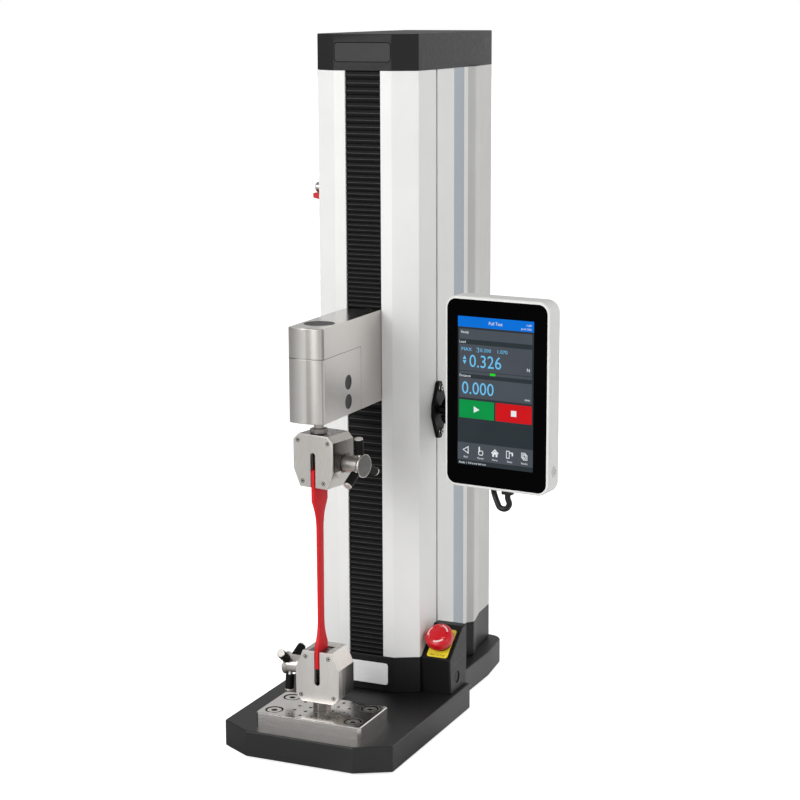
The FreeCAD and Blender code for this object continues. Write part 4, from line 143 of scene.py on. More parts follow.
class Tree(Network):
    """One material in the making."""

    def __init__(self, title: str) -> None:
        """Starts a material with its shader, its output and its coordinates.

        Args:
            title: name of the material.
        """
        self.material = bpy.data.materials.new(title)
        self.material.use_nodes = True
        super().__init__(self.material.node_tree)
        self.nodes.clear()
        self.surface = self.add("ShaderNodeBsdfPrincipled")
        self.add("ShaderNodeOutputMaterial", {0: self.surface})
        spots = self.add("ShaderNodeTexCoord")
        self.place, self.facing = spots.outputs["Object"], spots.outputs["Normal"]

    def grain(self, size_mm: float, detail: float = 3.0, stretch: Sequence[float] = (1, 1, 1)) -> Node:
        """An uneven pattern.

        Args:
            size_mm: size of one grain.
            detail: how many finer grains lie in it.
            stretch: how many times longer it is along each axis.
        Returns:
            The node whose first output is the pattern.
        """
        scale = tuple(1 / s for s in stretch)
        mapped = self.add("ShaderNodeMapping", {"Vector": self.place, "Scale": scale})
        return self.add("ShaderNodeTexNoise", {"Vector": mapped, "Scale": 1000 / size_mm, "Detail": detail})

    def mottled(self, pattern: Node, base: str, light: str) -> Node:
        """Two tones that drift into each other.

        Args:
            pattern: where each of them shows.
            base: the darker tone.
            light: the lighter tone.
        Returns:
            The node whose first live output is the colour.
        """
        share = self.add("ShaderNodeMapRange", {"Value": pattern, **MIDDLE})
        return self.add("ShaderNodeMix", {0: share, 6: srgb(base), 7: srgb(light)}, data_type="RGBA")

    def band(self, axis: Socket, start_mm: float, end_mm: float, tones: Tones) -> Node:
        """Tones that follow each other along an axis.

        Args:
            axis: the coordinate.
            start_mm: where the first tone lies.
            end_mm: where the last tone lies.
            tones: share of the way and tone, in order.
        Returns:
            The node whose first output is the colour.
        """
        share = self.add("ShaderNodeMapRange",
                         {"Value": axis, "From Min": start_mm * MM, "From Max": end_mm * MM})
        ramp = self.add("ShaderNodeValToRGB", {0: share})
        points = ramp.color_ramp.elements
        points[0].position, points[0].color = tones[0][0], srgb(tones[0][1])
        points[1].position, points[1].color = tones[-1][0], srgb(tones[-1][1])
        for spot, tone in tones[1:-1]:
            points.new(spot).color = srgb(tone)
        return ramp

    def dress(self, colour: object, relief: Sequence[tuple[object, float]], dull: object,
              **others: object) -> Material:
        """Gives the shader its colour, its relief and its roughness.

        Args:
            colour: a colour, or the node that makes it.
            relief: patterns with their depths in millimetres, the lowest first.
            dull: a roughness, the node that makes it, or a pattern with the roughness at its two ends.
            others: further sockets of the shader, underscores standing for spaces.
        Returns:
            The finished material.
        """
        for pattern, depth_mm in relief:
            below = {"Normal": others["Normal"]} if "Normal" in others else {}
            height = {"Height": pattern, "Distance": depth_mm * MM, "Strength": 1.0}
            others["Normal"] = self.add("ShaderNodeBump", height | below)
        if isinstance(dull, tuple):
            pattern, low, high = dull
            dull = self.add("ShaderNodeMapRange", {"Value": pattern, **MIDDLE, "To Min": low, "To Max": high})
        others |= {"Base_Color": colour, "Roughness": dull}
        for key, value in others.items():
            self.put(self.surface, key.replace("_", " "), value)
        return self.material


# Kinds of finish. A grain of one to two tenths of a millimetre is under a pixel of the render, so
# every pattern under half a millimetre is drawn about twice as coarse as the real one.

@dataclass(frozen=True)
class Coating:
    """What every finish knows: the title of its material."""
    title: str

    def make(self) -> Material:
        """Each kind of finish makes its own material."""
        raise NotImplementedError(self.title)

    def get(self) -> Material:
        """The material, made the first time that it is asked for."""
        return bpy.data.materials.get(self.title) or self.make()


@dataclass(frozen=True)
class PowderCoat(Coating):
    """Powder coat on a casting: orange peel breaks up its highlights and a finer grain dulls them."""
    base: str
    light: str
    rough: float
    grain_mm: float = 0.7
    shine: float = 0.3

    def make(self) -> Material:
        """A grain over orange peel that is three grains wide.

        Returns:
            The material.
        """
        t = Tree(self.title)
        relief = ((t.grain(self.grain_mm * 3, 2), 0.05), (t.grain(self.grain_mm, 4), 0.06))
        dull = (t.grain(self.grain_mm * 2), self.rough - 0.05, self.rough + 0.06)
        tone = t.mottled(t.grain(9, 4), self.base, self.light)
        return t.dress(tone, relief, dull, Specular_IOR_Level=self.shine)


@dataclass(frozen=True)
class CoatedProfile(Coating):
    """Thin satin coat on a drawn profile or sheet: a soft sheen with faint lines along its height."""
    base: str
    light: str
    rough: float
    lines_mm: float = 0.35

    def make(self) -> Material:
        """Long lines under a coat that varies slowly.

        Returns:
            The material.
        """
        t = Tree(self.title)
        dull = (t.grain(18, 2), self.rough - 0.03, self.rough + 0.04)
        return t.dress(t.mottled(t.grain(60, 4), self.base, self.light),
                       ((t.grain(self.lines_mm, 3, (1, 1, 90)), 0.006),), dull, Specular_IOR_Level=0.3)


@dataclass(frozen=True)
class WorkedMetal(Coating):
    """Brushed, turned or ground metal: fine lines draw its highlights out across them."""
    base: str
    light: str
    rough: float
    lines_mm: float
    stretch: tuple[float, float, float]
    depth_mm: float

    def make(self) -> Material:
        """Lines along the stretched axis over a slow drift of roughness.

        Returns:
            The material.
        """
        t = Tree(self.title)
        lines = t.grain(self.lines_mm, 5, self.stretch)
        dull = (t.grain(14, 2, self.stretch), self.rough - 0.05, self.rough + 0.07)
        return t.dress(t.mottled(lines, self.base, self.light), ((lines, self.depth_mm),), dull, Metallic=1.0)


@dataclass(frozen=True)
class ArmMetal(Coating):
    """Brushed plated steel whose bowed front was brushed across: upright bands of painted reflection, as on a
    bar.
    """
    tones: Tones
    side: str
    front_mm: float
    half_mm: float
    rough: float
    flat_rough: float = 0.4
    top_rough: float = 0.21
    streak: str = "e6e3df"

    def make(self) -> Material:
        """Bands of painted reflection across the front, one tone on the flat sides and a smoother top.

        Returns:
            The material.
        """
        t = Tree(self.title)
        axes = t.add("ShaderNodeSeparateXYZ", {0: t.place})
        bands = t.band(axes.outputs[0], -self.half_mm, self.half_mm, self.tones)
        start, end = (self.front_mm + 1.6) * MM, self.front_mm * MM
        front = t.add("ShaderNodeMapRange", {"Value": axes.outputs[1], "From Min": start, "From Max": end})
        tone = t.add("ShaderNodeMix", {0: front, 6: srgb(self.side), 7: bands}, data_type="RGBA")
        lines = t.grain(0.3, 5, (30, 30, 1))
        share = t.add("ShaderNodeMapRange",
                      {"Value": lines, "From Min": 0.3, "From Max": 0.7, "To Max": 0.22})
        tone = t.add("ShaderNodeMix", {0: share, 6: tone, 7: srgb(self.streak)}, data_type="RGBA")
        upward = t.add("ShaderNodeSeparateXYZ", {0: t.facing}).outputs[2]
        top = t.add("ShaderNodeMapRange", {"Value": upward, **NEARLY_FLAT})
        flat, bowed, smooth = ((r, r, r, 1) for r in (self.flat_rough, self.rough, self.top_rough))
        dull = t.add("ShaderNodeMix", {0: front, 6: flat, 7: bowed}, data_type="RGBA")
        dull = t.add("ShaderNodeMix", {0: top, 6: dull, 7: smooth}, data_type="RGBA")
        return t.dress(tone, ((lines, 0.003),), dull, Metallic=1.0)


@dataclass(frozen=True)
class BlockMetal(Coating):
    """Brushed block with painted shade on its milled sides and top, which leaves its chamfers bright."""
    eased: tuple[str, str]
    sides: Tones
    top: str
    rough: float
    front_mm: float = -14.0
    back_mm: float = 36.0

    def make(self) -> Material:
        """Painted shade that runs back along the sides, a painted darker tone on the top and two tones on all
        the rest.

        Returns:
            The material.
        """
        t = Tree(self.title)
        upright = (1, 1, 30)
        lines = t.grain(0.28, 5, upright)
        axes = t.add("ShaderNodeSeparateXYZ", {0: t.place})
        bands = t.band(axes.outputs[1], self.front_mm, self.back_mm, self.sides)
        way = t.add("ShaderNodeSeparateXYZ", {0: t.facing})
        across = t.add("ShaderNodeMath", {0: way.outputs[0]}, operation="ABSOLUTE")
        flank = t.add("ShaderNodeMapRange", {"Value": across, "From Min": 0.94, "From Max": 0.97})
        upper = t.add("ShaderNodeMapRange", {"Value": way.outputs[2], **NEARLY_FLAT})
        tone = t.add("ShaderNodeMix", {0: flank, 6: t.mottled(lines, *self.eased), 7: bands},
                     data_type="RGBA")
        tone = t.add("ShaderNodeMix", {0: upper, 6: tone, 7: srgb(self.top)}, data_type="RGBA")
        dull = (t.grain(14, 2, upright), self.rough - 0.05, self.rough + 0.07)
        return t.dress(tone, ((lines, 0.004),), dull, Metallic=1.0)


@dataclass(frozen=True)
class BlastedMetal(Coating):
    """Bead-blasted, plated or faced metal: an even grain and a highlight that is the same all ways."""
    base: str
    light: str
    rough: float
    grain_mm: float

    def make(self) -> Material:
        """One even grain.

        Returns:
            The material.
        """
        t = Tree(self.title)
        dull = (t.grain(4), self.rough - 0.05, self.rough + 0.06)
        return t.dress(t.mottled(t.grain(6, 4), self.base, self.light), ((t.grain(self.grain_mm, 4), 0.012),),
                       dull, Metallic=1.0)


@dataclass(frozen=True)
class Moulding(Coating):
    """Moulded plastic or rubber: the spark-eroded grain of its mould softens its highlights."""
    base: str
    light: str
    rough: float
    grain_mm: float = 0.35
    depth_mm: float = 0.02
    coat: float = 0.0
    shine: float = 0.35

    def make(self) -> Material:
        """One grain, under a clear coat if it has one.

        Returns:
            The material.
        """
        t = Tree(self.title)
        dull = (t.grain(5, 2), self.rough - 0.04, self.rough + 0.05)
        tone = t.mottled(t.grain(12, 4), self.base, self.light)
        return t.dress(tone, ((t.grain(self.grain_mm), self.depth_mm),), dull, Coat_Weight=self.coat,
                       Specular_IOR_Level=self.shine)


@dataclass(frozen=True)
class CoatedCloth(Coating):
    """Polyurethane coat on cloth: matt, with a fine weave that shows through and a little dust."""
    base: str
    light: str

    def make(self) -> Material:
        """A weave with threads 1 mm apart, coarser than real ones so that it shows, over dust.

        Returns:
            The material.
        """
        t = Tree(self.title)
        weave = t.add("ShaderNodeTexWave", {"Vector": t.place, "Scale": 330.0, "Distortion": 0.6},
                      bands_direction="X").outputs["Fac"]
        dust = t.grain(2.4, 5)
        return t.dress(t.mottled(dust, self.base, self.light), ((dust, 0.03), (weave, 0.02)), 0.62,
                       Specular_IOR_Level=0.12)


@dataclass(frozen=True)
class RubberSheet(Coating):
    """Pigmented rubber sheet: one strong colour with a soft, even sheen."""
    base: str
    light: str

    def make(self) -> Material:
        """Tones drawn out by the pull, over a moulded grain.

        Returns:
            The material.
        """
        t = Tree(self.title)
        tone = t.mottled(t.grain(3, 3, (1, 1, 4)), self.base, self.light)
        return t.dress(tone, ((t.grain(0.5), 0.015),), 0.5, Specular_IOR_Level=0.25)


@dataclass(frozen=True)
class CoverGlass(Coating):
    """Glass printed black on its back: deep black with a sharp, faint reflection, smeared a little."""

    def make(self) -> Material:
        """Slow smears in an almost polished face."""
        t = Tree(self.title)
        return t.dress(srgb("020203"), (), (t.grain(22), 0.05, 0.11), Specular_IOR_Level=0.025)


@dataclass(frozen=True)
class LitInk(Coating):
    """One tone of the lit display behind its glass: it glows evenly and takes no shade."""
    tone: str
    glow: float = 0.85
    fade: str = ""

    def make(self) -> Material:
        """A glow that drifts slowly towards a second tone where there is one.

        Returns:
            The material.
        """
        t = Tree(self.title)
        tone = t.mottled(t.grain(30, 1), self.tone, self.fade) if self.fade else srgb(self.tone)
        return t.dress(srgb("020202"), (), 0.2, Emission_Color=tone, Emission_Strength=self.glow,
                       Specular_IOR_Level=0.06)


@dataclass(frozen=True)
class PrintedFilm(Coating):
    """Printed polyester film or pad-printed ink: flat colour under a thin clear gloss."""
    base: str
    light: str
    rough: float = 0.4

    def make(self) -> Material:
        """Faint waves of the film.

        Returns:
            The material.
        """
        t = Tree(self.title)
        tone = t.mottled(t.grain(3, 4), self.base, self.light)
        return t.dress(tone, ((t.grain(0.8, 2), 0.004),), self.rough, Coat_Weight=0.2)


# Painted shade along the grip bodies' sides, from the cover backwards: a painted shadow by the cover on the
# upper grip, a painted highlight fading into shade on the lower
UPPER_SIDE_PAINTED_SHADE = ((0.0, "121111"), (0.035, "171616"), (0.06, "4a4745"), (0.4, "6f6c69"), (1.0, "96928e"))
LOWER_SIDE_PAINTED_LIGHT_AND_SHADE = ((0.0, "e4e0db"), (0.15, "d6d2cd"), (0.3, "96928e"), (0.6, "6a6865"), (1.0, "444240"))
# Painted reflections and highlights across the arm's bowed front, from its left edge to its right
ARM_PAINTED_REFLECTIONS = ((0.0, "6f6c69"), (0.04, "bab7b3"), (0.2, "cfccc8"), (0.45, "e0ddd9"), (0.53, "cdcac6"),
             (0.59, "908d89"),
             (0.66, "8b8884"), (0.76, "c0bdb9"), (0.93, "d8d5d1"), (0.97, "8a8783"), (1.0, "4c4946"))
# Directions of lines that a brush or a lathe leaves, as the length of a line along each axis
UPRIGHT, TURNED_ROUND, GROUND_ACROSS = (1, 1, 30), (1, 30, 30), (40, 1, 1)


class Finish(Enum):
    """Every finish of the stand."""
    # Castings and their black fittings: near black, with broad soft highlights on the edges
    CAST = PowderCoat("powder_coated_cast_aluminium", "0b0b0c", "0f0f10", 0.48, 0.7, 0.55)
    FOOT = PowderCoat("powder_coated_column_foot", "0a0a0b", "0e0e0f", 0.46, 0.5, 0.34)
    CAP = Moulding("moulded_abs_charcoal", "080809", "0c0c0d", 0.5, 0.4, 0.02, 0.0, 0.38)
    POD = Moulding("moulded_abs_black", "060607", "0a0a0b", 0.46, 0.45, 0.02, 0.0, 0.3)
    BADGE = Moulding("moulded_badge_plate", "1c1c1e", "222224", 0.4, 0.4)
    # Column: pale and satin, a shade darker at the rear
    COLUMN = CoatedProfile("satin_coated_aluminium_profile", "dddddc", "e2e2e0", 0.4)
    COVER = CoatedProfile("satin_coated_sheet_steel", "c0bfbd", "c7c6c4", 0.4)
    STRIP = PrintedFilm("printed_polyester_strip", "97a1a9", "9ea8b0")
    # Grips, jaws and arm: lines a quarter of a millimetre wide, twice a real brush's, so that they show
    STEEL = WorkedMetal("brushed_stainless_steel", "d6d2cd", "eeeae5", 0.32, 0.28, UPRIGHT, 0.004)
    # The lower grip's cover: the same steel painted lighter, as painted light
    STEEL_LOW = WorkedMetal("brushed_stainless_steel_painted_lighter", "ece8e3", "fcf8f4", 0.32, 0.28, UPRIGHT, 0.004)
    # Grip bodies: painted shade on their sides and tops, the lower body a lighter copy as painted light
    BODY = BlockMetal("brushed_upper_grip_steel_painted_shade", ("97938f", "bfbbb6"), UPPER_SIDE_PAINTED_SHADE, "7d7975", 0.26)
    BODY_LOW = BlockMetal("brushed_lower_grip_steel_painted_light_and_shade", ("b0aca7", "dad6d1"), LOWER_SIDE_PAINTED_LIGHT_AND_SHADE, "bbb7b2", 0.26)
    JAW = WorkedMetal("hardened_jaw_steel", "5b5855", "7c7975", 0.32, 0.28, UPRIGHT, 0.004)
    ARM = ArmMetal("brushed_nickel_plated_steel_painted_reflections", ARM_PAINTED_REFLECTIONS, "c6c3bf", -28.2, 20.1, 0.27)
    # Turned and ground pieces: tighter highlights than the brushed ones
    # Knobs: the turned steel painted lighter, as a painted highlight on their necks
    KNOB = WorkedMetal("turned_knob_steel_painted_lighter", "cfcbc6", "e8e4df", 0.3, 0.22, TURNED_ROUND, 0.002)
    TURNED = WorkedMetal("turned_stainless_steel", "b4b0ab", "d4d0cb", 0.2, 0.22, TURNED_ROUND, 0.002)
    PLATE = WorkedMetal("surface_ground_stainless_steel", "ccc8c4", "e6e2de", 0.2, 0.3, GROUND_ACROSS, 0.004)
    NUT = BlastedMetal("zinc_plated_nut_steel", "8f8b88", "a5a19e", 0.3, 0.2)
    # The knobs' end faces: painted shade
    FACED = BlastedMetal("faced_steel_end_painted_shade", "6d6b69", "787674", 0.42, 0.2)
    # Bright metal on rims, chamfers and thread crests: partly their own machined face, partly painted
    # highlight
    RIM = BlastedMetal("machined_rim_and_painted_highlight", "dcd8d2", "e8e4de", 0.3, 0.2)
    BLACK_OXIDE = BlastedMetal("black_oxide_steel", "2a2a2b", "3a3a3b", 0.42, 0.25)
    # Depths of holes and joints: no light comes back out of them
    HOLE = PowderCoat("shadowed_cast_interior", "060606", "0b0b0b", 0.7, 0.7, 0.12)
    SEAM = PowderCoat("shadowed_joint_line", "191817", "211f1e", 0.6)
    # Cloth, rubber and soft plastic: matt, with hardly a highlight
    BELLOWS = CoatedCloth("polyurethane_coated_cloth", "0f0f10", "171718")
    # Lighter beads on the bellows' folds: painted highlights on their crests
    PAINTED_CREST_HIGHLIGHT = Moulding("bellows_bead_painted_crest_highlight", "454546", "4e4e4f", 0.5, 0.3)
    SLEEVE = Moulding("moulded_rubber_sleeve", "070707", "0c0c0c", 0.5, 0.3, 0.02, 0.0, 0.15)
    RUBBER = Moulding("moulded_nitrile_rubber", "121212", "1a1a1a", 0.7, 0.4)
    RED_RUBBER = RubberSheet("pigmented_rubber_sheet", "c20d15", "cc141c")
    CABLE = Moulding("pvc_cable_sheath", "0b0b0b", "131313", 0.4, 0.5)
    # Hard plastic: a plain colour and a softened highlight, gloss only on the stop's head
    MOUNT = Moulding("glass_filled_nylon_mount", "080808", "0d0d0d", 0.5, 0.35, 0.02, 0.0, 0.14)
    GREY_PLUG = Moulding("moulded_nylon_plug", "2f2f30", "373738", 0.5)
    BLACK = Moulding("glass_filled_nylon_black", "0f0f0f", "161616", 0.42)
    STOP_RED = Moulding("gloss_moulded_pbt_red", "c30a1a", "cb1222", 0.3, 0.5, 0.004, 0.12)
    SLIDER_RED = Moulding("moulded_acetal_red", "b8141c", "c42028", 0.35)
    CASE = Moulding("moulded_abs_white", "d5d5d3", "dadad8", 0.42, 0.3, 0.008)
    BUTTON = Moulding("moulded_button_grey", "c9c9c7", "d0d0ce", 0.38, 0.3, 0.008)
    BOARD = Moulding("solder_masked_circuit_board", "0d3b22", "124a2b", 0.35, 0.4, 0.01, 0.3)
    # Prints: flat colour with a crisp edge
    STOP_MARK = PrintedFilm("pad_printed_white_ink", "e8b9bb", "f0c8c9", 0.35)
    STOP_YELLOW = PrintedFilm("printed_yellow_plate", "f0dd30", "f4e23c", 0.4)
    LABEL = PrintedFilm("blank_polyester_label", "fbfbfb", "fefefe", 0.28)
    MARK = PrintedFilm("laser_etched_mark", "1d1c1b", "262524", 0.6)
    # Display: black glass with tones that glow through it
    GLASS = CoverGlass("black_backed_cover_glass")
    WHITE = LitInk("display_white", "e9eef2", 0.95)
    CYAN = LitInk("display_light_blue", "6fc4f2", 0.95)
    HEADER = LitInk("display_blue", "0474e0", 0.88, "0478e6")
    SLATE = LitInk("display_slate", "4c5259", 0.88, "525860")
    DEEP = LitInk("display_dark", "30383d", 0.85, "343c41")
    GREEN = LitInk("display_green", "08a651", 0.8, "089848")
    RED = LitInk("display_red", "e0161d", 0.85, "d2151c")
    LIME = LitInk("display_lime", "25dd25", 0.95)

    @property
    def title(self) -> str:
        """Name of the finish's material."""
        return self.value.title

    def get(self) -> Material:
        """The finish's material."""
        return self.value.get()


# Meshes

def link(name: str, mesh: bpy.types.Mesh, finish: Finish | None = None) -> Object:
    """Puts a mesh in the scene at the origin.

    Args:
        name: name of the piece.
        mesh: its mesh.
        finish: its finish, where the mesh has none yet.
    Returns:
        The object.
    """
    obj = bpy.data.objects.new(name, mesh)
    bpy.context.scene.collection.objects.link(obj)
    if finish:
        obj.data.materials.clear()
        obj.data.materials.append(finish.get())
    return obj


@contextmanager
def editing(mesh: bpy.types.Mesh) -> Iterator[bmesh.types.BMesh]:
    """Opens a mesh for editing and writes it back.

    Args:
        mesh: the mesh.
    Returns:
        The editable mesh, while the block runs.
    """
    bm = bmesh.new()
    bm.from_mesh(mesh)
    yield bm
    bm.to_mesh(mesh)
    bm.free()


def soften(mesh: bpy.types.Mesh, degrees: float = 35.0) -> None:
    """Smooth shading with creases above an angle."""
    mesh.shade_smooth()
    mesh.set_sharp_from_angle(angle=math.radians(degrees))


def settle(obj: Object, degrees: float | None = 35.0) -> Object:
    """Applies an object's modifiers and shades it, unless no angle is given.

    Args:
        obj: the object.
        degrees: edges sharper than this stay crisp, and none leaves the shading alone.
    Returns:
        The same object.
    """
    bpy.context.view_layer.update()
    graph = bpy.context.evaluated_depsgraph_get()
    mesh = bpy.data.meshes.new_from_object(obj.evaluated_get(graph))
    materials = list(obj.data.materials)
    obj.modifiers.clear()
    obj.data = mesh
    if not mesh.materials:
        for material in materials:
            mesh.materials.append(material)
    if degrees is not None:
        soften(mesh, degrees)
    return obj


def from_lists(name: str, verts: Iterable, faces: Iterable, finish: Finish,
               place: Matrix | None = None) -> Object:
    """A mesh object from points in millimetres.

    Args:
        name: name of the piece.
        verts: points in millimetres.
        faces: point numbers of each face.
        finish: its finish.
        place: move from the piece's own axes to the stand's.
    Returns:
        The piece.
    """
    mesh = bpy.data.meshes.new(name)
    mesh.from_pydata([Vector(v) * MM for v in verts], [], [tuple(f) for f in faces])
    if place is not None:
        mesh.transform(place)
    with editing(mesh) as bm:
        bmesh.ops.recalc_face_normals(bm, faces=bm.faces)
    obj = link(name, mesh, finish)
    soften(mesh)
    return obj


def refined(node: str, finish: Finish, bevel_mm: float = 0.25, name: str = "") -> Object:
    """The CAD node's own shape with its flat faces merged and its edges broken.

    Args:
        node: name of the CAD node.
        finish: its finish.
        bevel_mm: width of the broken edges, or 0.
        name: name, if not the node's own.
    Returns:
        The piece.
    """
    mesh = frame["nodes"][node].data.copy()
    with editing(mesh) as bm:
        bmesh.ops.remove_doubles(bm, verts=bm.verts, dist=2e-6)
        bmesh.ops.dissolve_limit(bm, angle_limit=math.radians(0.6), verts=bm.verts, edges=bm.edges)
    mesh.materials.clear()
    soften(mesh)
    obj = link(name or f"{node}_skin", mesh, finish)
    if bevel_mm:
        mod = obj.modifiers.new("edge", "BEVEL")
        mod.width = bevel_mm * MM
        mod.segments = 2
        mod.limit_method = "ANGLE"
        mod.angle_limit = math.radians(40)
        mod.miter_outer = "MITER_ARC"
    facing = obj.modifiers.new("facing", "WEIGHTED_NORMAL")
    facing.weight = 100
    facing.keep_sharp = True
    settle(obj, None)
    return attach(obj, node)


def attach(obj: Object, node: str, hide: bool = True) -> Object:
    """Lets a piece move with the body of a CAD node and, if wanted, stand for that node.

    Args:
        obj: the piece.
        node: name of the CAD node.
        hide: whether the piece stands for the node.
    Returns:
        The same piece.
    """
    body = next(b for b, names in frame["record"]["behaviour"]["bodies"].items() if node in names)
    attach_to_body(obj, body)
    if hide:
        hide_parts(node)
    slot = next(s["material_slot"] for s in frame["record"]["subparts"] if s["node"] == node)
    return obj


def lathe(name: str, profile: Outline, finish: Finish, place: Matrix,
          sides: int = 48) -> Object:
    """Turns (radius, height) points in millimetres about Z.

    Args:
        name: name of the piece.
        profile: radius and height of each point, in order.
        finish: its finish.
        place: move from the piece's own axes to the stand's.
        sides: number of sides.
    Returns:
        The piece.
    """
    verts = [(x, y, z) for r, z in profile for x, y in circle(r, sides)]
    faces = [(i * sides + k, i * sides + n, (i + 1) * sides + n, (i + 1) * sides + k)
             for i in range(len(profile) - 1) for k, n in ((k, (k + 1) % sides) for k in range(sides))]
    obj = from_lists(name, verts, faces, finish, place)
    with editing(obj.data) as bm:
        bmesh.ops.remove_doubles(bm, verts=bm.verts, dist=1e-7)
        bmesh.ops.recalc_face_normals(bm, faces=bm.faces)
    soften(obj.data, 30)
    return obj


def thread(name: str, radius: float, pitch: float, low: float, high: float, finish: Finish,
           place: Matrix, steps: int = 28) -> Object:
    """A helical V thread whose crest has that radius.

    Args:
        name: name of the piece.
        radius: radius of the crest.
        pitch: height of one turn.
        low: lower end.
        high: upper end.
        finish: its finish.
        place: move from the piece's own axes to the stand's.
        steps: points to a turn.
    Returns:
        The piece.
    """
    turns = (high - low) / pitch
    count = int(turns * steps)
    deep = pitch * 0.55
    verts, faces = [], []
    for i in range(count + 1):
        a = 2 * math.pi * i / steps
        z = low + pitch * i / steps - pitch / 2
        for r, dz in ((radius - deep, 0.0), (radius, pitch * 0.42), (radius, pitch * 0.58),
                      (radius - deep, pitch)):
            verts.append((r * math.cos(a), r * math.sin(a), min(max(z + dz, low), high)))
    for i in range(count):
        for k in range(3):
            faces.append((4 * i + k, 4 * i + k + 1, 4 * i + k + 5, 4 * i + k + 4))
    return from_lists(name, verts, faces, finish, place)


def circle(radius: float, steps: int = 36, start: float = 0.0) -> Outline:
    """Points of a circle, from an angle in degrees."""
    turned = [math.radians(start + 360 * k / steps) for k in range(steps)]
    return [(radius * math.cos(a), radius * math.sin(a)) for a in turned]


def rounded(w: float, h: float, r: float, cx: float = 0.0, cy: float = 0.0, steps: int = 5) -> Outline:
    """Outline of a rectangle with rounded corners.

    Args:
        w: width.
        h: height.
        r: radius of the corners.
        cx: X of the middle.
        cy: Y of the middle.
        steps: faces of a corner.
    Returns:
        The points, anticlockwise.
    """
    points = []
    for sx, sy, start in ((1, 1, 0), (-1, 1, 90), (-1, -1, 180), (1, -1, 270)):
        for k in range(steps + 1):
            a = math.radians(start + 90 * k / steps)
            points.append((cx + sx * (w / 2 - r) + r * math.cos(a), cy + sy * (h / 2 - r) + r * math.sin(a)))
    return points


def slab(name: str, outline: Outline, low: float, high: float, finish: Finish,
         place: Matrix) -> Object:
    """An outline in X and Y raised from low to high in Z, all in millimetres.

    Args:
        name: name of the piece.
        outline: points in X and Y.
        low: lower end.
        high: upper end.
        finish: its finish.
        place: move from the piece's own axes to the stand's.
    Returns:
        The piece.
    """
    n = len(outline)
    verts = [(x, y, low) for x, y in outline] + [(x, y, high) for x, y in outline]
    faces = [tuple(range(n))[::-1], tuple(range(n, 2 * n))]
    faces += [(i, (i + 1) % n, n + (i + 1) % n, n + i) for i in range(n)]
    return from_lists(name, verts, faces, finish, place)


def ring_slab(name: str, outer: Outline, inner: Outline, low: float, high: float, finish: Finish,
              place: Matrix) -> Object:
    """A flat band between two outlines with the same number of points.

    Args:
        name: name of the piece.
        outer: outer outline.
        inner: inner outline.
        low: lower end.
        high: upper end.
        finish: its finish.
        place: move from the piece's own axes to the stand's.
    Returns:
        The piece.
    """
    n = len(outer)
    verts = [(x, y, z) for z in (low, high) for line in (outer, inner) for x, y in line]
    faces = []
    for i in range(n):
        j = (i + 1) % n
        faces += [(2 * n + i, 2 * n + j, 3 * n + j, 3 * n + i), (i, n + i, n + j, j),
                  (i, j, 2 * n + j, 2 * n + i), (n + i, 3 * n + i, 3 * n + j, n + j)]
    return from_lists(name, verts, faces, finish, place)


def lettering(name: str, words: str, height: float, finish: Finish, place: Matrix, deep: float = 0.05,
              align: str = "LEFT", condense: float = 1.0) -> Object:
    """Words as a thin solid, lying in X and Y of the placement.

    Args:
        name: name of the piece.
        words: what is written.
        height: height of a capital.
        finish: its finish.
        place: move from the piece's own axes to the stand's.
        deep: thickness in millimetres.
        align: side on which the words start or end.
        condense: width of the letters as a share of their own.
    Returns:
        The piece.
    """
    curve = bpy.data.curves.new(name, "FONT")
    curve.body = words
    curve.size = height * MM / 0.7
    curve.align_x = align
    curve.extrude = deep * MM / 2
    curve.resolution_u = 3
    obj = bpy.data.objects.new(name, curve)
    bpy.context.scene.collection.objects.link(obj)
    bpy.context.view_layer.update()
    mesh = bpy.data.meshes.new_from_object(obj.evaluated_get(bpy.context.evaluated_depsgraph_get()))
    bpy.data.objects.remove(obj)
    mesh.transform(place @ Matrix.Diagonal((condense, 1, 1, 1)))
    mesh.materials.clear()
    return link(name, mesh, finish)


# Geometry node trees

class Growth(Network):
    """One Geometry Nodes tree in the making, with named inputs."""

    def __init__(self, name: str, inputs: Sequence[tuple[str, str, object]]) -> None:
        """Starts a tree.

        Args:
            name: name of the tree.
            inputs: name, socket type and value of each input after the geometry.
        """
        self.tree = bpy.data.node_groups.new(name, "GeometryNodeTree")
        super().__init__(self.tree)
        face = self.tree.interface
        face.new_socket("Geometry", in_out="INPUT", socket_type="NodeSocketGeometry")
        for title, kind, value in inputs:
            face.new_socket(title, in_out="INPUT", socket_type=kind).default_value = value
        face.new_socket("Geometry", in_out="OUTPUT", socket_type="NodeSocketGeometry")
        self.source = self.nodes.new("NodeGroupInput")
        self.sink = self.nodes.new("NodeGroupOutput")

    def wanted(self, title: str) -> Socket:
        """The group input of that name."""
        return self.source.outputs[title]

    def close(self, geometry: Node, finish: Finish) -> None:
        """Ends the tree with real geometry in one finish.

        Args:
            geometry: the node that ends the growth.
            finish: its finish.
        """
        real = self.add("GeometryNodeRealizeInstances", {0: geometry})
        dressed = self.add("GeometryNodeSetMaterial", {0: real, "Material": finish.get()})
        self.put(self.sink, 0, dressed)

    def grow(self, name: str, mesh: bpy.types.Mesh, values: dict, degrees: float = 35.0) -> Object:
        """Runs the tree on a mesh with the given inputs and returns the finished object.

        Args:
            name: name of the piece.
            mesh: what the tree grows from.
            values: value of each named input.
            degrees: edges sharper than this stay crisp.
        Returns:
            The finished object.
        """
        obj = link(name, mesh)
        mod = obj.modifiers.new("growth", "NODES")
        mod.node_group = self.tree
        for item in self.tree.interface.items_tree:
            if item.item_type == "SOCKET" and item.in_out == "INPUT" and item.name in values:
                mod[item.identifier] = values[item.name]
        return settle(obj, degrees)


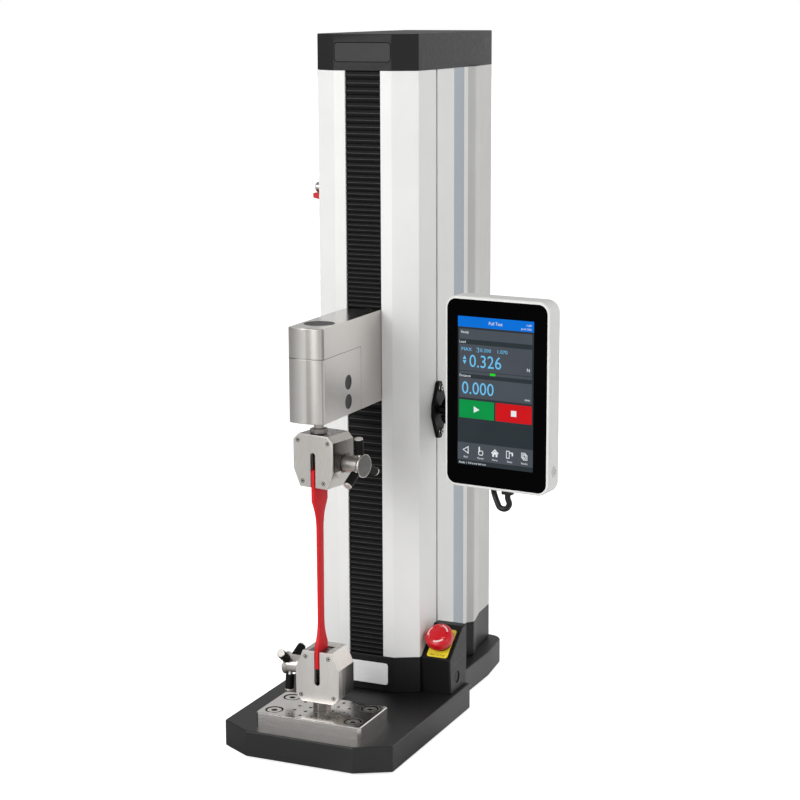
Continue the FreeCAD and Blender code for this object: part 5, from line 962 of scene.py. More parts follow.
def tube_growth(finish: Finish) -> Growth:
    """A round sheath along a line of mesh edges.

    Args:
        finish: the sheath's finish.
    Returns:
        The tree, with inputs for the radius and the number of sides.
    """
    g = Growth(f"sheath_{finish.title}",
               [("Radius", "NodeSocketFloat", 0.0025), ("Sides", "NodeSocketInt", 20)])
    path = g.add("GeometryNodeMeshToCurve", {"Mesh": g.wanted("Geometry")})
    ring = g.add("GeometryNodeCurvePrimitiveCircle",
                 {"Resolution": g.wanted("Sides"), "Radius": g.wanted("Radius")})
    g.close(g.add("GeometryNodeCurveToMesh", {"Curve": path, "Profile Curve": ring, "Fill Caps": True}),
            finish)
    return g


def pleat_growth(finish: Finish) -> Growth:
    """One fold of unit height repeated up a line, hanging wider apart towards the top.

    Args:
        finish: the folds' finish.
    Returns:
        The tree, with inputs for the count, the range and how the folds are spread over it.
    """
    g = Growth(f"pleats_{finish.title}", [
        ("Count", "NodeSocketInt", 30), ("Low", "NodeSocketFloat", 0.0), ("Length", "NodeSocketFloat", 0.25),
        ("Even Share", "NodeSocketFloat", 0.83), ("Power", "NodeSocketFloat", 3.5)])

    def level(index: Node) -> Node:
        """Height at which a fold starts.

        Args:
            index: the fold's number, from below.
        Returns:
            The node that gives the height.
        """
        share = g.add("ShaderNodeMath", {0: index, 1: g.wanted("Count")}, operation="DIVIDE")
        even = g.add("ShaderNodeMath", {0: share, 1: g.wanted("Even Share")}, operation="MULTIPLY")
        rest = g.add("ShaderNodeMath", {0: 1.0, 1: g.wanted("Even Share")}, operation="SUBTRACT")
        bent = g.add("ShaderNodeMath", {0: share, 1: g.wanted("Power")}, operation="POWER")
        both = g.add("ShaderNodeMath", {0: bent, 1: rest, 2: even}, operation="MULTIPLY_ADD")
        return g.add("ShaderNodeMath", {0: both, 1: g.wanted("Length"), 2: g.wanted("Low")},
                     operation="MULTIPLY_ADD")

    index = g.add("GeometryNodeInputIndex")
    here, above = level(index), level(g.add("ShaderNodeMath", {0: index, 1: 1.0}, operation="ADD"))
    pitch = g.add("ShaderNodeMath", {0: above, 1: here}, operation="SUBTRACT")
    line = g.add("GeometryNodeMeshLine", {"Count": g.wanted("Count")}, mode="OFFSET")
    spot = g.add("ShaderNodeCombineXYZ", {2: here})
    placed = g.add("GeometryNodeSetPosition", {"Geometry": line, "Position": spot})
    size = g.add("ShaderNodeCombineXYZ", {0: 1.0, 1: 1.0, 2: pitch})
    g.close(g.add("GeometryNodeInstanceOnPoints",
                  {"Points": placed, "Instance": g.wanted("Geometry"), "Scale": size}), finish)
    return g


def grid_growth(finish: Finish) -> Growth:
    """A small piece set at every point of a square grid, without its middle.

    Args:
        finish: the pieces' finish.
    Returns:
        The tree, with inputs for the count, the pitch, the radius left clear and the height.
    """
    g = Growth(f"grid_{finish.title}", [("Count", "NodeSocketInt", 5), ("Pitch", "NodeSocketFloat", 0.013),
                                         ("Clear", "NodeSocketFloat", 0.004),
                                         ("Height", "NodeSocketFloat", 0.0)])
    gaps = g.add("ShaderNodeMath", {0: g.wanted("Count"), 1: 1.0}, operation="SUBTRACT")
    span = g.add("ShaderNodeMath", {0: gaps, 1: g.wanted("Pitch")}, operation="MULTIPLY")
    grid = g.add("GeometryNodeMeshGrid", {"Size X": span, "Size Y": span, "Vertices X": g.wanted("Count"),
                                          "Vertices Y": g.wanted("Count")})
    far = g.add("ShaderNodeVectorMath", {0: g.add("GeometryNodeInputPosition")}, operation="LENGTH")
    keep = g.add("ShaderNodeMath", {0: far, 1: g.wanted("Clear")}, operation="GREATER_THAN")
    spread = g.add("GeometryNodeInstanceOnPoints", {"Points": grid, "Selection": keep,
                                                    "Instance": g.wanted("Geometry")})
    lift = g.add("ShaderNodeCombineXYZ", {2: g.wanted("Height")})
    g.close(g.add("GeometryNodeTransform", {"Geometry": spread, "Translation": lift}), finish)
    return g


# Places shared with the CAD model, in millimetres

def at(x: float, y: float, z: float) -> Matrix:
    """A move in millimetres."""
    return Matrix.Translation(Vector((x, y, z)) * MM)


def turn(degrees: float, axis: str) -> Matrix:
    """A turn about an axis."""
    return Matrix.Rotation(math.radians(degrees), 4, axis)


PANEL_PLACE = at(176.9, 48.98, 390.5) @ turn(-5.8, "Z")
STOP_PLACE = at(76.9, 144.5, 83.997) @ turn(37.309, "X")
FACING = turn(90, "X")


class Which(Enum):
    """The two grips."""
    UPPER = "upper"
    LOWER = "lower"


class SubAssembly:
    """A group of pieces that is dressed together."""

    def dress(self) -> list[Object]:
        """Each group makes its own pieces."""
        raise NotImplementedError


@dataclass
class PlainDress(SubAssembly):
    """Nodes whose CAD shape already carries all their detail."""
    finishes: dict[str, tuple[Finish, float]]

    def dress(self) -> list[Object]:
        """Skins each node with its finish and a broken edge."""
        return [refined(node, finish, bevel) for node, (finish, bevel) in self.finishes.items()]


@dataclass
class BasePlate(SubAssembly):
    """Ground steel plate with countersunk tapped holes and four cap screws."""
    top: float = 45.0
    count: int = 5
    pitch: float = 13.0
    clear: float = 4.0
    hole: float = 2.1
    thread_pitch: float = 0.8
    thread_low: float = -10.5
    thread_high: float = -0.5
    screws: tuple[float, float] = (46.0, 21.0)
    # The bright well and cap rings are partly machined metal, partly painted highlight on the screw
    # Outer and inner radius, underside, upper side and finish of the rings about a screw
    rings: tuple[tuple[str, float, float, float, float, Finish], ...] = (
        ("well", 10.5, 9.85, -0.02, 0.03, Finish.RIM), ("groove", 9.8, 7.85, -8.6, -0.12, Finish.HOLE),
        ("cap", 7.7, 3.6, -0.7, -0.3, Finish.RIM))
    key: float = 3.3
    key_low: float = -4.5
    key_high: float = -0.5

    def dress(self) -> list[Object]:
        """Adds the plate, its hole rims, threads and screws.

        Returns:
            The pieces.
        """
        plate = refined("base_plate", Finish.PLATE, 0.35)
        here, r = Matrix.Identity(4), self.hole
        # Bright rims of the countersinks: partly their own machined face, partly painted highlight
        rim = lathe("rim_pattern", [(r - 0.1, -0.5), (r + 0.3, 0.03), (r + 0.6, 0.03), (r + 0.65, -0.01)],
                    Finish.RIM, here, 24)
        # The threads in the plate's holes are drawn in dark black-oxide steel as painted shade inside the
        # holes
        coil = thread("coil_pattern", r - 0.03, self.thread_pitch, self.thread_low, self.thread_high,
                      Finish.BLACK_OXIDE, here, 14)
        sizes = {"Count": self.count, "Pitch": self.pitch * MM, "Clear": self.clear * MM,
                 "Height": self.top * MM}
        rims = grid_growth(Finish.RIM).grow("hole_rims", rim.data.copy(), sizes)
        coils = grid_growth(Finish.BLACK_OXIDE).grow("hole_threads", coil.data.copy(), sizes)
        for spare in (rim, coil):
            bpy.data.objects.remove(spare)
        screws = refined("base_plate_screws", Finish.STEEL, 0.2)
        wells = [piece for sx in (-1, 1) for sy in (-1, 1) for piece in self.screw_rings(sx, sy)]
        for piece in (rims, coils, *wells):
            attach(piece, "base_plate", hide=False)
        return [plate, rims, coils, screws, *wells]

    def screw_rings(self, sx: int, sy: int) -> list[Object]:
        """The bright rim, dark groove, cap and socket of one screw.

        Args:
            sx: 1 on the right, -1 on the left.
            sy: 1 at the back, -1 at the front.
        Returns:
            The four pieces.
        """
        spot = at(sx * self.screws[0], sy * self.screws[1], self.top)
        tag = f"{'r' if sx > 0 else 'l'}{'b' if sy > 0 else 'f'}"
        made = [ring_slab(f"screw_{word}_{tag}", circle(outer), circle(inner), low, high, finish, spot)
                for word, outer, inner, low, high, finish in self.rings]
        key = circle(self.key, 6, 30)
        return made + [slab(f"screw_socket_{tag}", key, self.key_low, self.key_high, Finish.HOLE, spot)]


@dataclass
class Bellows(SubAssembly):
    """A pleated cover over the column's slot."""
    node: str
    low: float
    high: float
    count: int
    fixed: str
    moving: str
    half: float = 20.35
    front: float = 113.0
    deep: float = 1.5
    columns: int = 12
    side_deep: float = 8.0
    joint: float = 0.115
    # Depth as a share and height of the points up one fold, and of the bead along its front
    profile: Outline = ((1.0, 0.0), (0.5, 0.06), (0.2, 0.16), (0.06, 0.34), (0.0, 0.5), (0.06, 0.66),
                        (0.2, 0.84), (0.5, 0.94), (1.0, 1.0))
    bead: Outline = ((0.2, 0.46), (-0.12, 0.475), (-0.18, 0.5), (-0.12, 0.525), (0.2, 0.54))

    def dress(self) -> list[Object]:
        """Grows the folds and their welded front edges.

        Returns:
            Grows the folds and a lighter bead along each fold's front, a painted highlight on its crest.
        """
        fold, edge = self.fold(), self.edge()
        values = {"Count": self.count, "Low": self.low * MM, "Length": (self.high - self.low) * MM}
        skin = pleat_growth(Finish.BELLOWS).grow(f"{self.node}_folds", fold.data.copy(), values, 60)
        line = pleat_growth(Finish.PAINTED_CREST_HIGHLIGHT).grow(f"{self.node}_edges", edge.data.copy(), values, 60)
        for spare in (fold, edge):
            bpy.data.objects.remove(spare)
        for piece in (skin, line):
            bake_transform(piece)
        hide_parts(self.node)
        return [skin, line]

    def sheet(self, rows: Outline) -> tuple[list, list]:
        """Points across the cover at each row, joined by faces.

        Args:
            rows: depth in millimetres and height, from below.
        Returns:
            Points and faces.
        """
        wide = self.columns + 1
        verts = [((2 * k / self.columns - 1) * self.half, self.front + y, z / MM)
                 for y, z in rows for k in range(wide)]
        faces = [(i * wide + k, i * wide + k + 1, (i + 1) * wide + k + 1, (i + 1) * wide + k)
                 for i in range(len(rows) - 1) for k in range(self.columns)]
        return verts, faces

    def fold(self) -> Object:
        """One fold of unit height: a rounded front ridge between two valleys, closed at its sides.

        Returns:
            The pattern for the tree.
        """
        rows = [(y * self.deep, z) for y, z in self.profile]
        verts, faces = self.sheet(rows)
        for u in (-1, 1):
            back = len(verts)
            for y, z in rows:
                verts += [(u * self.half, self.front + d, z / MM) for d in (y, self.side_deep)]
            for i in range(len(rows) - 1):
                a = back + 2 * i
                faces.append((a, a + 1, a + 3, a + 2))
        return from_lists("fold_pattern", verts, faces, Finish.BELLOWS)

    def edge(self) -> Object:
        """A thin raised bead along the front of one fold, lighter than the cloth as a painted highlight on
        its crest.
        """
        return from_lists("edge_pattern", *self.sheet(self.bead), Finish.PAINTED_CREST_HIGHLIGHT)


@dataclass
class Specimen(SubAssembly):
    """Rubber dumbbell, twisted evenly between the grips."""
    low: float = 93.0
    grip_low: float = 111.5
    grip_high: float = 288.5
    high: float = 307.0
    twist: float = -10.4
    tab: float = 11.8
    neck: float = 4.6
    thick: float = 2.0
    # Start above the lower grip and length of the taper, and the same below the upper grip
    taper_low: tuple[float, float] = (6.0, 30.0)
    taper_high: tuple[float, float] = (15.0, 32.0)
    taper_power: float = 2.2
    sections: int = 110

    def half(self, z: float) -> float:
        """Half width at a height, from the tab's shoulder to the neck.

        Args:
            z: height.
        Returns:
            Half the width in millimetres.
        """
        low = (z - (self.grip_low + self.taper_low[0])) / self.taper_low[1]
        high = ((self.grip_high - self.taper_high[0]) - z) / self.taper_high[1]
        u = min(max(min(low, high), 0), 1)
        ease = 1 - (1 - u) ** self.taper_power
        return self.tab + (self.neck - self.tab) * ease

    def dress(self) -> list[Object]:
        """Lofts rounded sections up the piece.

        Returns:
            The pieces.
        """
        levels = [self.low + (self.high - self.low) * k / self.sections for k in range(self.sections + 1)]
        verts, faces, n = [], [], 0
        for z in levels:
            share = min(max((z - self.grip_low) / (self.grip_high - self.grip_low), 0), 1)
            a = math.radians(self.twist * share)
            wide = self.half(z)
            thick = self.thick if wide > 9 else self.thick * (0.86 + 0.14 * (wide - self.neck) / 7.2)
            section = rounded(2 * thick, 2 * wide, min(0.45, thick * 0.4), steps=3)
            n = len(section)
            verts += [(x * math.cos(a) - y * math.sin(a), x * math.sin(a) + y * math.cos(a), z)
                      for x, y in section]
        for i in range(len(levels) - 1):
            for k in range(n):
                m = (k + 1) % n
                faces.append((i * n + k, i * n + m, (i + 1) * n + m, (i + 1) * n + k))
        faces += [tuple(range(n))[::-1], tuple(range((len(levels) - 1) * n, len(levels) * n))]
        piece = from_lists("specimen_rubber", verts, faces, Finish.RED_RUBBER)
        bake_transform(piece)
        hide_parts("specimen")
        return [piece]


@dataclass
class Grip(SubAssembly):
    """A wedge grip: body, cover plate, jaws, pinion knob and sleeves."""
    which: Which
    end: float
    twist: float = -10.4
    # Right half of the cover's outline, from below
    half_cover: Outline = ((18.3, -56.0), (25.0, -49.5), (25.0, -18.5), (16.7, 0.0))
    cover_middle: float = -28.0
    cover_screws: Outline = ((13.3, -6.2), (19.0, -48.8), (-13.3, -6.2), (-19.0, -48.8))
    knob_end: tuple[float, float, float] = (-48.3, 13.0, -24.9)
    knob_face: float = 11.6
    knob_edge: float = 11.85
    tooth_pitch: float = 1.0
    tooth_deep: float = 0.12
    tooth_count: int = 34
    jaw_face: float = 2.15

    @property
    def place(self) -> Matrix:
        """From the grip's own frame, whose end is up, to the stand's.

        Returns:
            The move.
        """
        if self.which is Which.LOWER:
            return at(0, 0, self.end)
        turned = turn(self.twist, "Z") @ turn(180, "Y")
        return at(0, 0, self.end) @ turned

    def dress(self) -> list[Object]:
        """Skins the grip's nodes and adds jaw screws and serrations.

        Returns:
            The pieces.
        """
        n = self.which.value
        # The lower grip takes lighter copies of the same steels, as painted light
        block, cover = ((Finish.BODY_LOW, Finish.STEEL_LOW) if self.which is Which.LOWER
                        else (Finish.BODY, Finish.STEEL))
        pieces = [refined(f"{n}_grip_body", block, 0.5), refined(f"{n}_grip_front", cover, 0.45),
                  refined(f"{n}_grip_knob", Finish.KNOB, 0.2),
                  refined(f"{n}_grip_sleeves", Finish.SLEEVE, 0.3)]
        for word, side in (("a", 1), ("b", -1)):
            jaw = refined(f"{n}_jaw_{word}", Finish.JAW, 0.2)
            pieces.append(jaw)
            extra = [self.jaw_screw(word, side, y) for y in (-3.6, 3.4)] + [self.teeth(word, side)]
            for piece in extra:
                attach(piece, f"{n}_jaw_{word}", hide=False)
            pieces += extra
        # A dark joint line round the cover, and a bright strip on its chamfer as a painted highlight
        trim = [self.cover_ring("seam", ((-0.08, -9.28), (-0.08, -8.92)), Finish.SEAM),
                self.cover_ring("bevel", ((0.5, -11.03), (0.1, -10.92), (-0.04, -10.45)), Finish.RIM),
                *self.cover_marks()]
        for piece in trim:
            attach(piece, f"{n}_grip_front", hide=False)
        # A darker disc on the knob's end as painted shade, ringed by a bright band as a painted highlight
        end = self.place @ at(*self.knob_end) @ turn(-90, "Y")
        inner, outer = circle(self.knob_face, 48), circle(self.knob_edge, 48)
        faced = [slab(f"{n}_knob_face", inner, -0.05, 0.04, Finish.FACED, end),
                 ring_slab(f"{n}_knob_edge", outer, inner, -0.05, 0.05, Finish.RIM, end)]
        for piece in faced:
            attach(piece, f"{n}_grip_knob", hide=False)
        return pieces + trim + faced

    def cover_ring(self, name: str, rows: Outline, finish: Finish) -> Object:
        """A strip that follows the cover's outline, left out at the jaw end.

        Args:
            name: ending of the piece's name.
            rows: distance inwards from the outline and depth of each line of the strip.
            finish: its finish.
        Returns:
            The strip.
        """
        line = [*self.half_cover, *((-x, z) for x, z in self.half_cover[::-1])]
        mid, wide = self.cover_middle, self.half_cover[1][0]
        verts = [(x * (1 - d / wide), y, (z - mid) * (1 + d / mid) + mid) for x, z in line for d, y in rows]
        n, m, jaw_end = len(line), len(rows), len(self.half_cover) - 1
        faces = [(m * i + k, m * i + k + 1, m * ((i + 1) % n) + k + 1, m * ((i + 1) % n) + k)
                 for i in range(n) if i != jaw_end for k in range(m - 1)]
        return from_lists(f"{self.which.value}_grip_{name}", verts, faces, finish, self.place)

    def cover_marks(self) -> list[Object]:
        """A dark ring and socket for each of the cover's screws.

        Returns:
            The pieces.
        """
        made = []
        for x, z in self.cover_screws:
            spot = self.place @ at(x, -11.0, z) @ FACING
            tag = f"{self.which.value}_cover_screw_{'r' if x > 0 else 'l'}{'u' if z > -20 else 'd'}"
            made.append(ring_slab(f"{tag}_ring", circle(2.35, 30), circle(1.85, 30), -0.25, 0.03,
                                  Finish.SEAM, spot))
            made.append(slab(f"{tag}_socket", circle(1.15, 6), -0.5, -0.22, Finish.HOLE, spot))
        return made

    def jaw_screw(self, word: str, side: int, y: float) -> Object:
        """A small socket screw in the jaw's end face.

        Args:
            word: letter of the jaw.
            side: 1 on the right, -1 on the left.
            y: place along the jaw.
        Returns:
            The piece.
        """
        spot = self.place @ at(side * 5.9, y, -0.4)
        profile = [(0.0, -0.35), (0.75, -0.35), (0.75, 0.12), (1.25, 0.2), (1.5, 0.05), (1.5, -0.1)]
        name = f"{self.which.value}_jaw_{word}_screw_{'f' if y < 0 else 'b'}"
        return lathe(name, profile, Finish.BLACK_OXIDE, spot, 20)

    def teeth(self, word: str, side: int) -> Object:
        """Fine serrations across the jaw's gripping face.

        Args:
            word: letter of the jaw.
            side: 1 on the right, -1 on the left.
        Returns:
            The piece.
        """
        verts, faces = [], []
        pitch, face = self.tooth_pitch, self.jaw_face
        for i in range(self.tooth_count):
            z = -0.8 - i * pitch
            for y in (-8.4, 8.2):
                verts += [(side * face, y, z), (side * (face - self.tooth_deep), y, z - pitch / 2),
                          (side * face, y, z - pitch)]
            b = 6 * i
            faces += [(b, b + 1, b + 4, b + 3), (b + 1, b + 2, b + 5, b + 4)]
        return from_lists(f"{self.which.value}_jaw_{word}_serrations", verts, faces, Finish.TURNED,
                          self.place)


@dataclass
class Crosshead(SubAssembly):
    """Arm with the load cell block, its screw thread and plugs."""
    stud_radius: float = 5.0
    half: float = 20.1
    rise: float = 4.5
    front: float = -28.0
    back: float = 60.75
    joint: float = 427.0
    seam_half: float = 0.28
    stud_low: float = 336.5
    stud_high: float = 374.0
    # Radius and height of the rings of the jam nut, from below
    nut_rings: Outline = ((8.0, 344.5), (9.3, 345.1), (9.3, 349.9), (8.0, 350.5))
    plugs: tuple[tuple[str, float], ...] = (("high", 394.4), ("low", 373.9))
    plug_back: float = 29.5

    def dress(self) -> list[Object]:
        """Skins the arm and cuts its visible seams.

        Returns:
            The pieces.
        """
        pieces = [refined("crosshead_arm", Finish.ARM, 0.2), refined("load_cell", Finish.ARM, 0.15),
                  refined("arm_plugs", Finish.GREY_PLUG, 0.1)]
        here, r, low, high = Matrix.Identity(4), self.stud_radius, self.stud_low, self.stud_high
        # The bright crests of the thread are painted glints over the darker core
        coil = thread("upper_stud_thread", r + 0.35, 1.5, 350.0, 359.9, Finish.RIM, here)
        core = lathe("upper_stud_core", [(0.0, low), (r, low), (r, high), (0.0, high)], Finish.NUT, here, 32)
        nut = self.jam_nut()
        for piece in (core, nut):
            attach(piece, "upper_stud_nut")
        attach(coil, "upper_stud_nut", hide=False)
        pieces.append(nut)
        seams = [self.front_seam(), self.side_seam("left", -1), self.side_seam("right", 1), *self.plug_rims()]
        for piece in seams:
            attach(piece, "load_cell", hide=False)
        return [*pieces, coil, core, *seams]

    def jam_nut(self) -> Object:
        """A thin hexagon nut with its corners turned off above and below.

        Returns:
            The piece.
        """
        verts = [(x, y, z) for r, z in self.nut_rings for x, y in circle(r, 6, 30)]
        faces = [(6 * i + k, 6 * i + (k + 1) % 6, 6 * i + 6 + (k + 1) % 6, 6 * i + 6 + k)
                 for i in range(3) for k in range(6)]
        faces += [tuple(range(6))[::-1], tuple(range(18, 24))]
        return from_lists("upper_jam_nut", verts, faces, Finish.NUT)

    def bow(self, x: float) -> float:
        """Y of the bowed front at a place across it."""
        radius = (self.half ** 2 + self.rise ** 2) / (2 * self.rise)
        return self.front - self.rise + radius - math.sqrt(radius ** 2 - x ** 2)

    def front_seam(self) -> Object:
        """The dark joint line across the bowed front.

        Returns:
            The piece.
        """
        steps = 24
        verts, faces = [], []
        for k in range(steps + 1):
            x = 18.6 * (2 * k / steps - 1)
            verts += [(x, self.bow(x) - 0.04, self.joint + dz) for dz in (-self.seam_half, self.seam_half)]
        for k in range(steps):
            faces.append((2 * k, 2 * k + 1, 2 * k + 3, 2 * k + 2))
        verts += [(s * (self.half + 0.03), self.front + 1.6, self.joint + dz) for s in (-1, 1)
                  for dz in (-self.seam_half, self.seam_half)]
        n, last = 2 * (steps + 1), 2 * steps
        faces += [(n, n + 1, 1, 0), (last, last + 1, n + 3, n + 2)]
        return from_lists("arm_front_seam", verts, faces, Finish.SEAM)

    def side_seam(self, tag: str, side: int) -> Object:
        """The joint line along one side, over the cell and down behind it.

        Args:
            tag: ending of the piece's name.
            side: 1 on the right, -1 on the left.
        Returns:
            The piece.
        """
        x = side * (self.half + 0.03)
        along = [(x, self.front + 1.6, self.joint - 0.26), (x, self.back - 0.2, self.joint - 0.2),
                 (x, self.back + 0.2, self.joint + 0.2), (x, self.front + 1.6, self.joint + 0.26)]
        down = [(x, self.back - 0.08, 360.2), (x, self.back + 0.1, 360.2), (x, self.back + 0.1, self.joint),
                (x, self.back - 0.08, self.joint)]
        return from_lists(f"arm_seam_{tag}", along + down, [(0, 1, 2, 3), (4, 5, 6, 7)], Finish.SEAM)

    def plug_rims(self) -> list[Object]:
        """Dark rims round the side plugs.

        Returns:
            The pieces.
        """
        made = []
        for tag, level in self.plugs:
            for side in (-1, 1):
                spot = at(side * (self.half + 0.02), self.plug_back, level) @ turn(90 * side, "Y")
                name = f"plug_rim_{tag}_{'r' if side > 0 else 'l'}"
                made.append(ring_slab(name, circle(7.75, 40), circle(7.35, 40), -0.3, 0.02,
                                      Finish.SEAM, spot))
        return made


@dataclass
class BallMount(SubAssembly):
    """Bright button-head screws that hold the ball mount's plate to the column."""
    out: float = 62.9
    back: float = 173.3
    level: float = 341.7
    pitch: float = 24.3
    profile: Outline = ((4.35, 0.0), (4.35, 0.6), (4.0, 1.5), (3.1, 2.3), (2.0, 2.6), (1.7, 2.6), (1.6, 1.3),
                        (0.0, 1.3))

    def dress(self) -> list[Object]:
        """Turns the two heads with their sockets.

        Returns:
            The pieces.
        """
        made = []
        for tag, side in (("upper", 1), ("lower", -1)):
            spot = at(self.out, self.back, self.level + side * self.pitch) @ turn(90, "Y")
            head = lathe(f"mount_screw_{tag}", self.profile, Finish.TURNED, spot, 36)
            made.append(attach(head, "ball_base", hide=False))
        return made


@dataclass
class StopButton(SubAssembly):
    """Emergency stop with turning arrows on its head."""
    base: float = 6.9
    plate: float = 1.0
    radius: float = 15.5
    film: tuple[float, float, float] = (24.4, 38.2, 2.8)
    plug_at: tuple[float, float, float] = (93.02, 149.5, 46.5)
    plug_outer: float = 6.75
    plug_inner: float = 6.1
    # Shares of the head's radius between which an arrow lies, its start and its sweep in degrees
    arrow: tuple[float, float] = (0.64, 0.76)
    arrow_start: float = 20.0
    arrow_sweep: float = 78.0

    def dress(self) -> list[Object]:
        """Skins the pod's pieces and draws three arrows on the head.

        Returns:
            The pieces.
        """
        pieces = [refined("estop_pod", Finish.POD, 0.4), refined("estop_block", Finish.BLACK, 0.1),
                  refined("estop_stem", Finish.BLACK, 0.2)]
        r = self.radius
        b = self.base
        profile = [(3.2, b), (r - 2.0, b), (r - 1.1, b + 0.3), (r - 0.35, b + 1.1), (r, b + 2.6),
                   (r, b + 8.6), *self.crown()[::-1]]
        head = lathe("stop_head_red", profile, Finish.STOP_RED, STOP_PLACE, 64)
        attach(head, "estop_head")
        arrows = [self.turn_mark(k) for k in range(3)]
        for piece in arrows:
            attach(piece, "estop_head", hide=False)
        film = slab("stop_plate_film", rounded(*self.film), self.plate - 0.2, self.plate + 0.12,
                    Finish.STOP_YELLOW, STOP_PLACE)
        words = lettering("stop_plate_words", "PRESS TO STOP", 2.3, Finish.MARK,
                          STOP_PLACE @ at(0, -17.2, self.plate + 0.16), 0.04, "CENTER", 0.8)
        for piece in (film, words):
            attach(piece, "estop_block", hide=False)
        side = at(*self.plug_at) @ turn(90, "Y")
        rim = ring_slab("pod_plug_rim", circle(self.plug_outer, 40), circle(self.plug_inner, 40), -0.9, 0.03,
                        Finish.HOLE, side)
        attach(rim, "estop_pod", hide=False)
        return [*pieces, head, *arrows, film, words, rim]

    def turn_mark(self, step: int) -> Object:
        """A curved arrow laid on the dome.

        Args:
            step: 0, 1 or 2, a third of a turn apart.
        Returns:
            The piece.
        """
        verts, faces = [], []
        start, sweep, steps = math.radians(120 * step + self.arrow_start), math.radians(self.arrow_sweep), 14
        r0, r1 = (self.radius * share for share in self.arrow)
        lift = 0.06

        def spot(r: float, a: float) -> tuple[float, float, float]:
            """A point just over the dome, at a radius and an angle."""
            return (r * math.cos(a), r * math.sin(a), self.dome(r) + lift)

        for k in range(steps + 1):
            a = start + sweep * 0.78 * k / steps
            verts += [spot(r0, a), spot(r1, a)]
        for k in range(steps):
            faces.append((2 * k, 2 * k + 1, 2 * k + 3, 2 * k + 2))
        a = start + sweep * 0.76
        n = len(verts)
        verts += [spot(r0 - 1.3, a), spot(r1 + 1.3, a), spot((r0 + r1) / 2, start + sweep)]
        faces.append((n, n + 1, n + 2))
        return from_lists(f"stop_arrow_{step}", verts, faces, Finish.STOP_MARK, STOP_PLACE)

    def crown(self) -> Outline:
        """Radius and height of the domed top, from its middle outwards.

        Returns:
            The points.
        """
        b, r = self.base, self.radius
        return [(0.0, b + 14.2), (r * 0.3, b + 14.0), (r * 0.55, b + 13.4), (r * 0.75, b + 12.5),
                (r - 2.0, b + 11.5), (r - 0.8, b + 10.3), (r - 0.2, b + 9.3)]

    def dome(self, r: float) -> float:
        """Height of the turned head's surface at a radius.

        Args:
            r: the radius.
        Returns:
            The height in millimetres.
        """
        points = self.crown()
        for (r0, z0), (r1, z1) in zip(points, points[1:]):
            if r <= r1:
                return z0 + (z1 - z0) * (r - r0) / (r1 - r0)
        return points[-1][1]


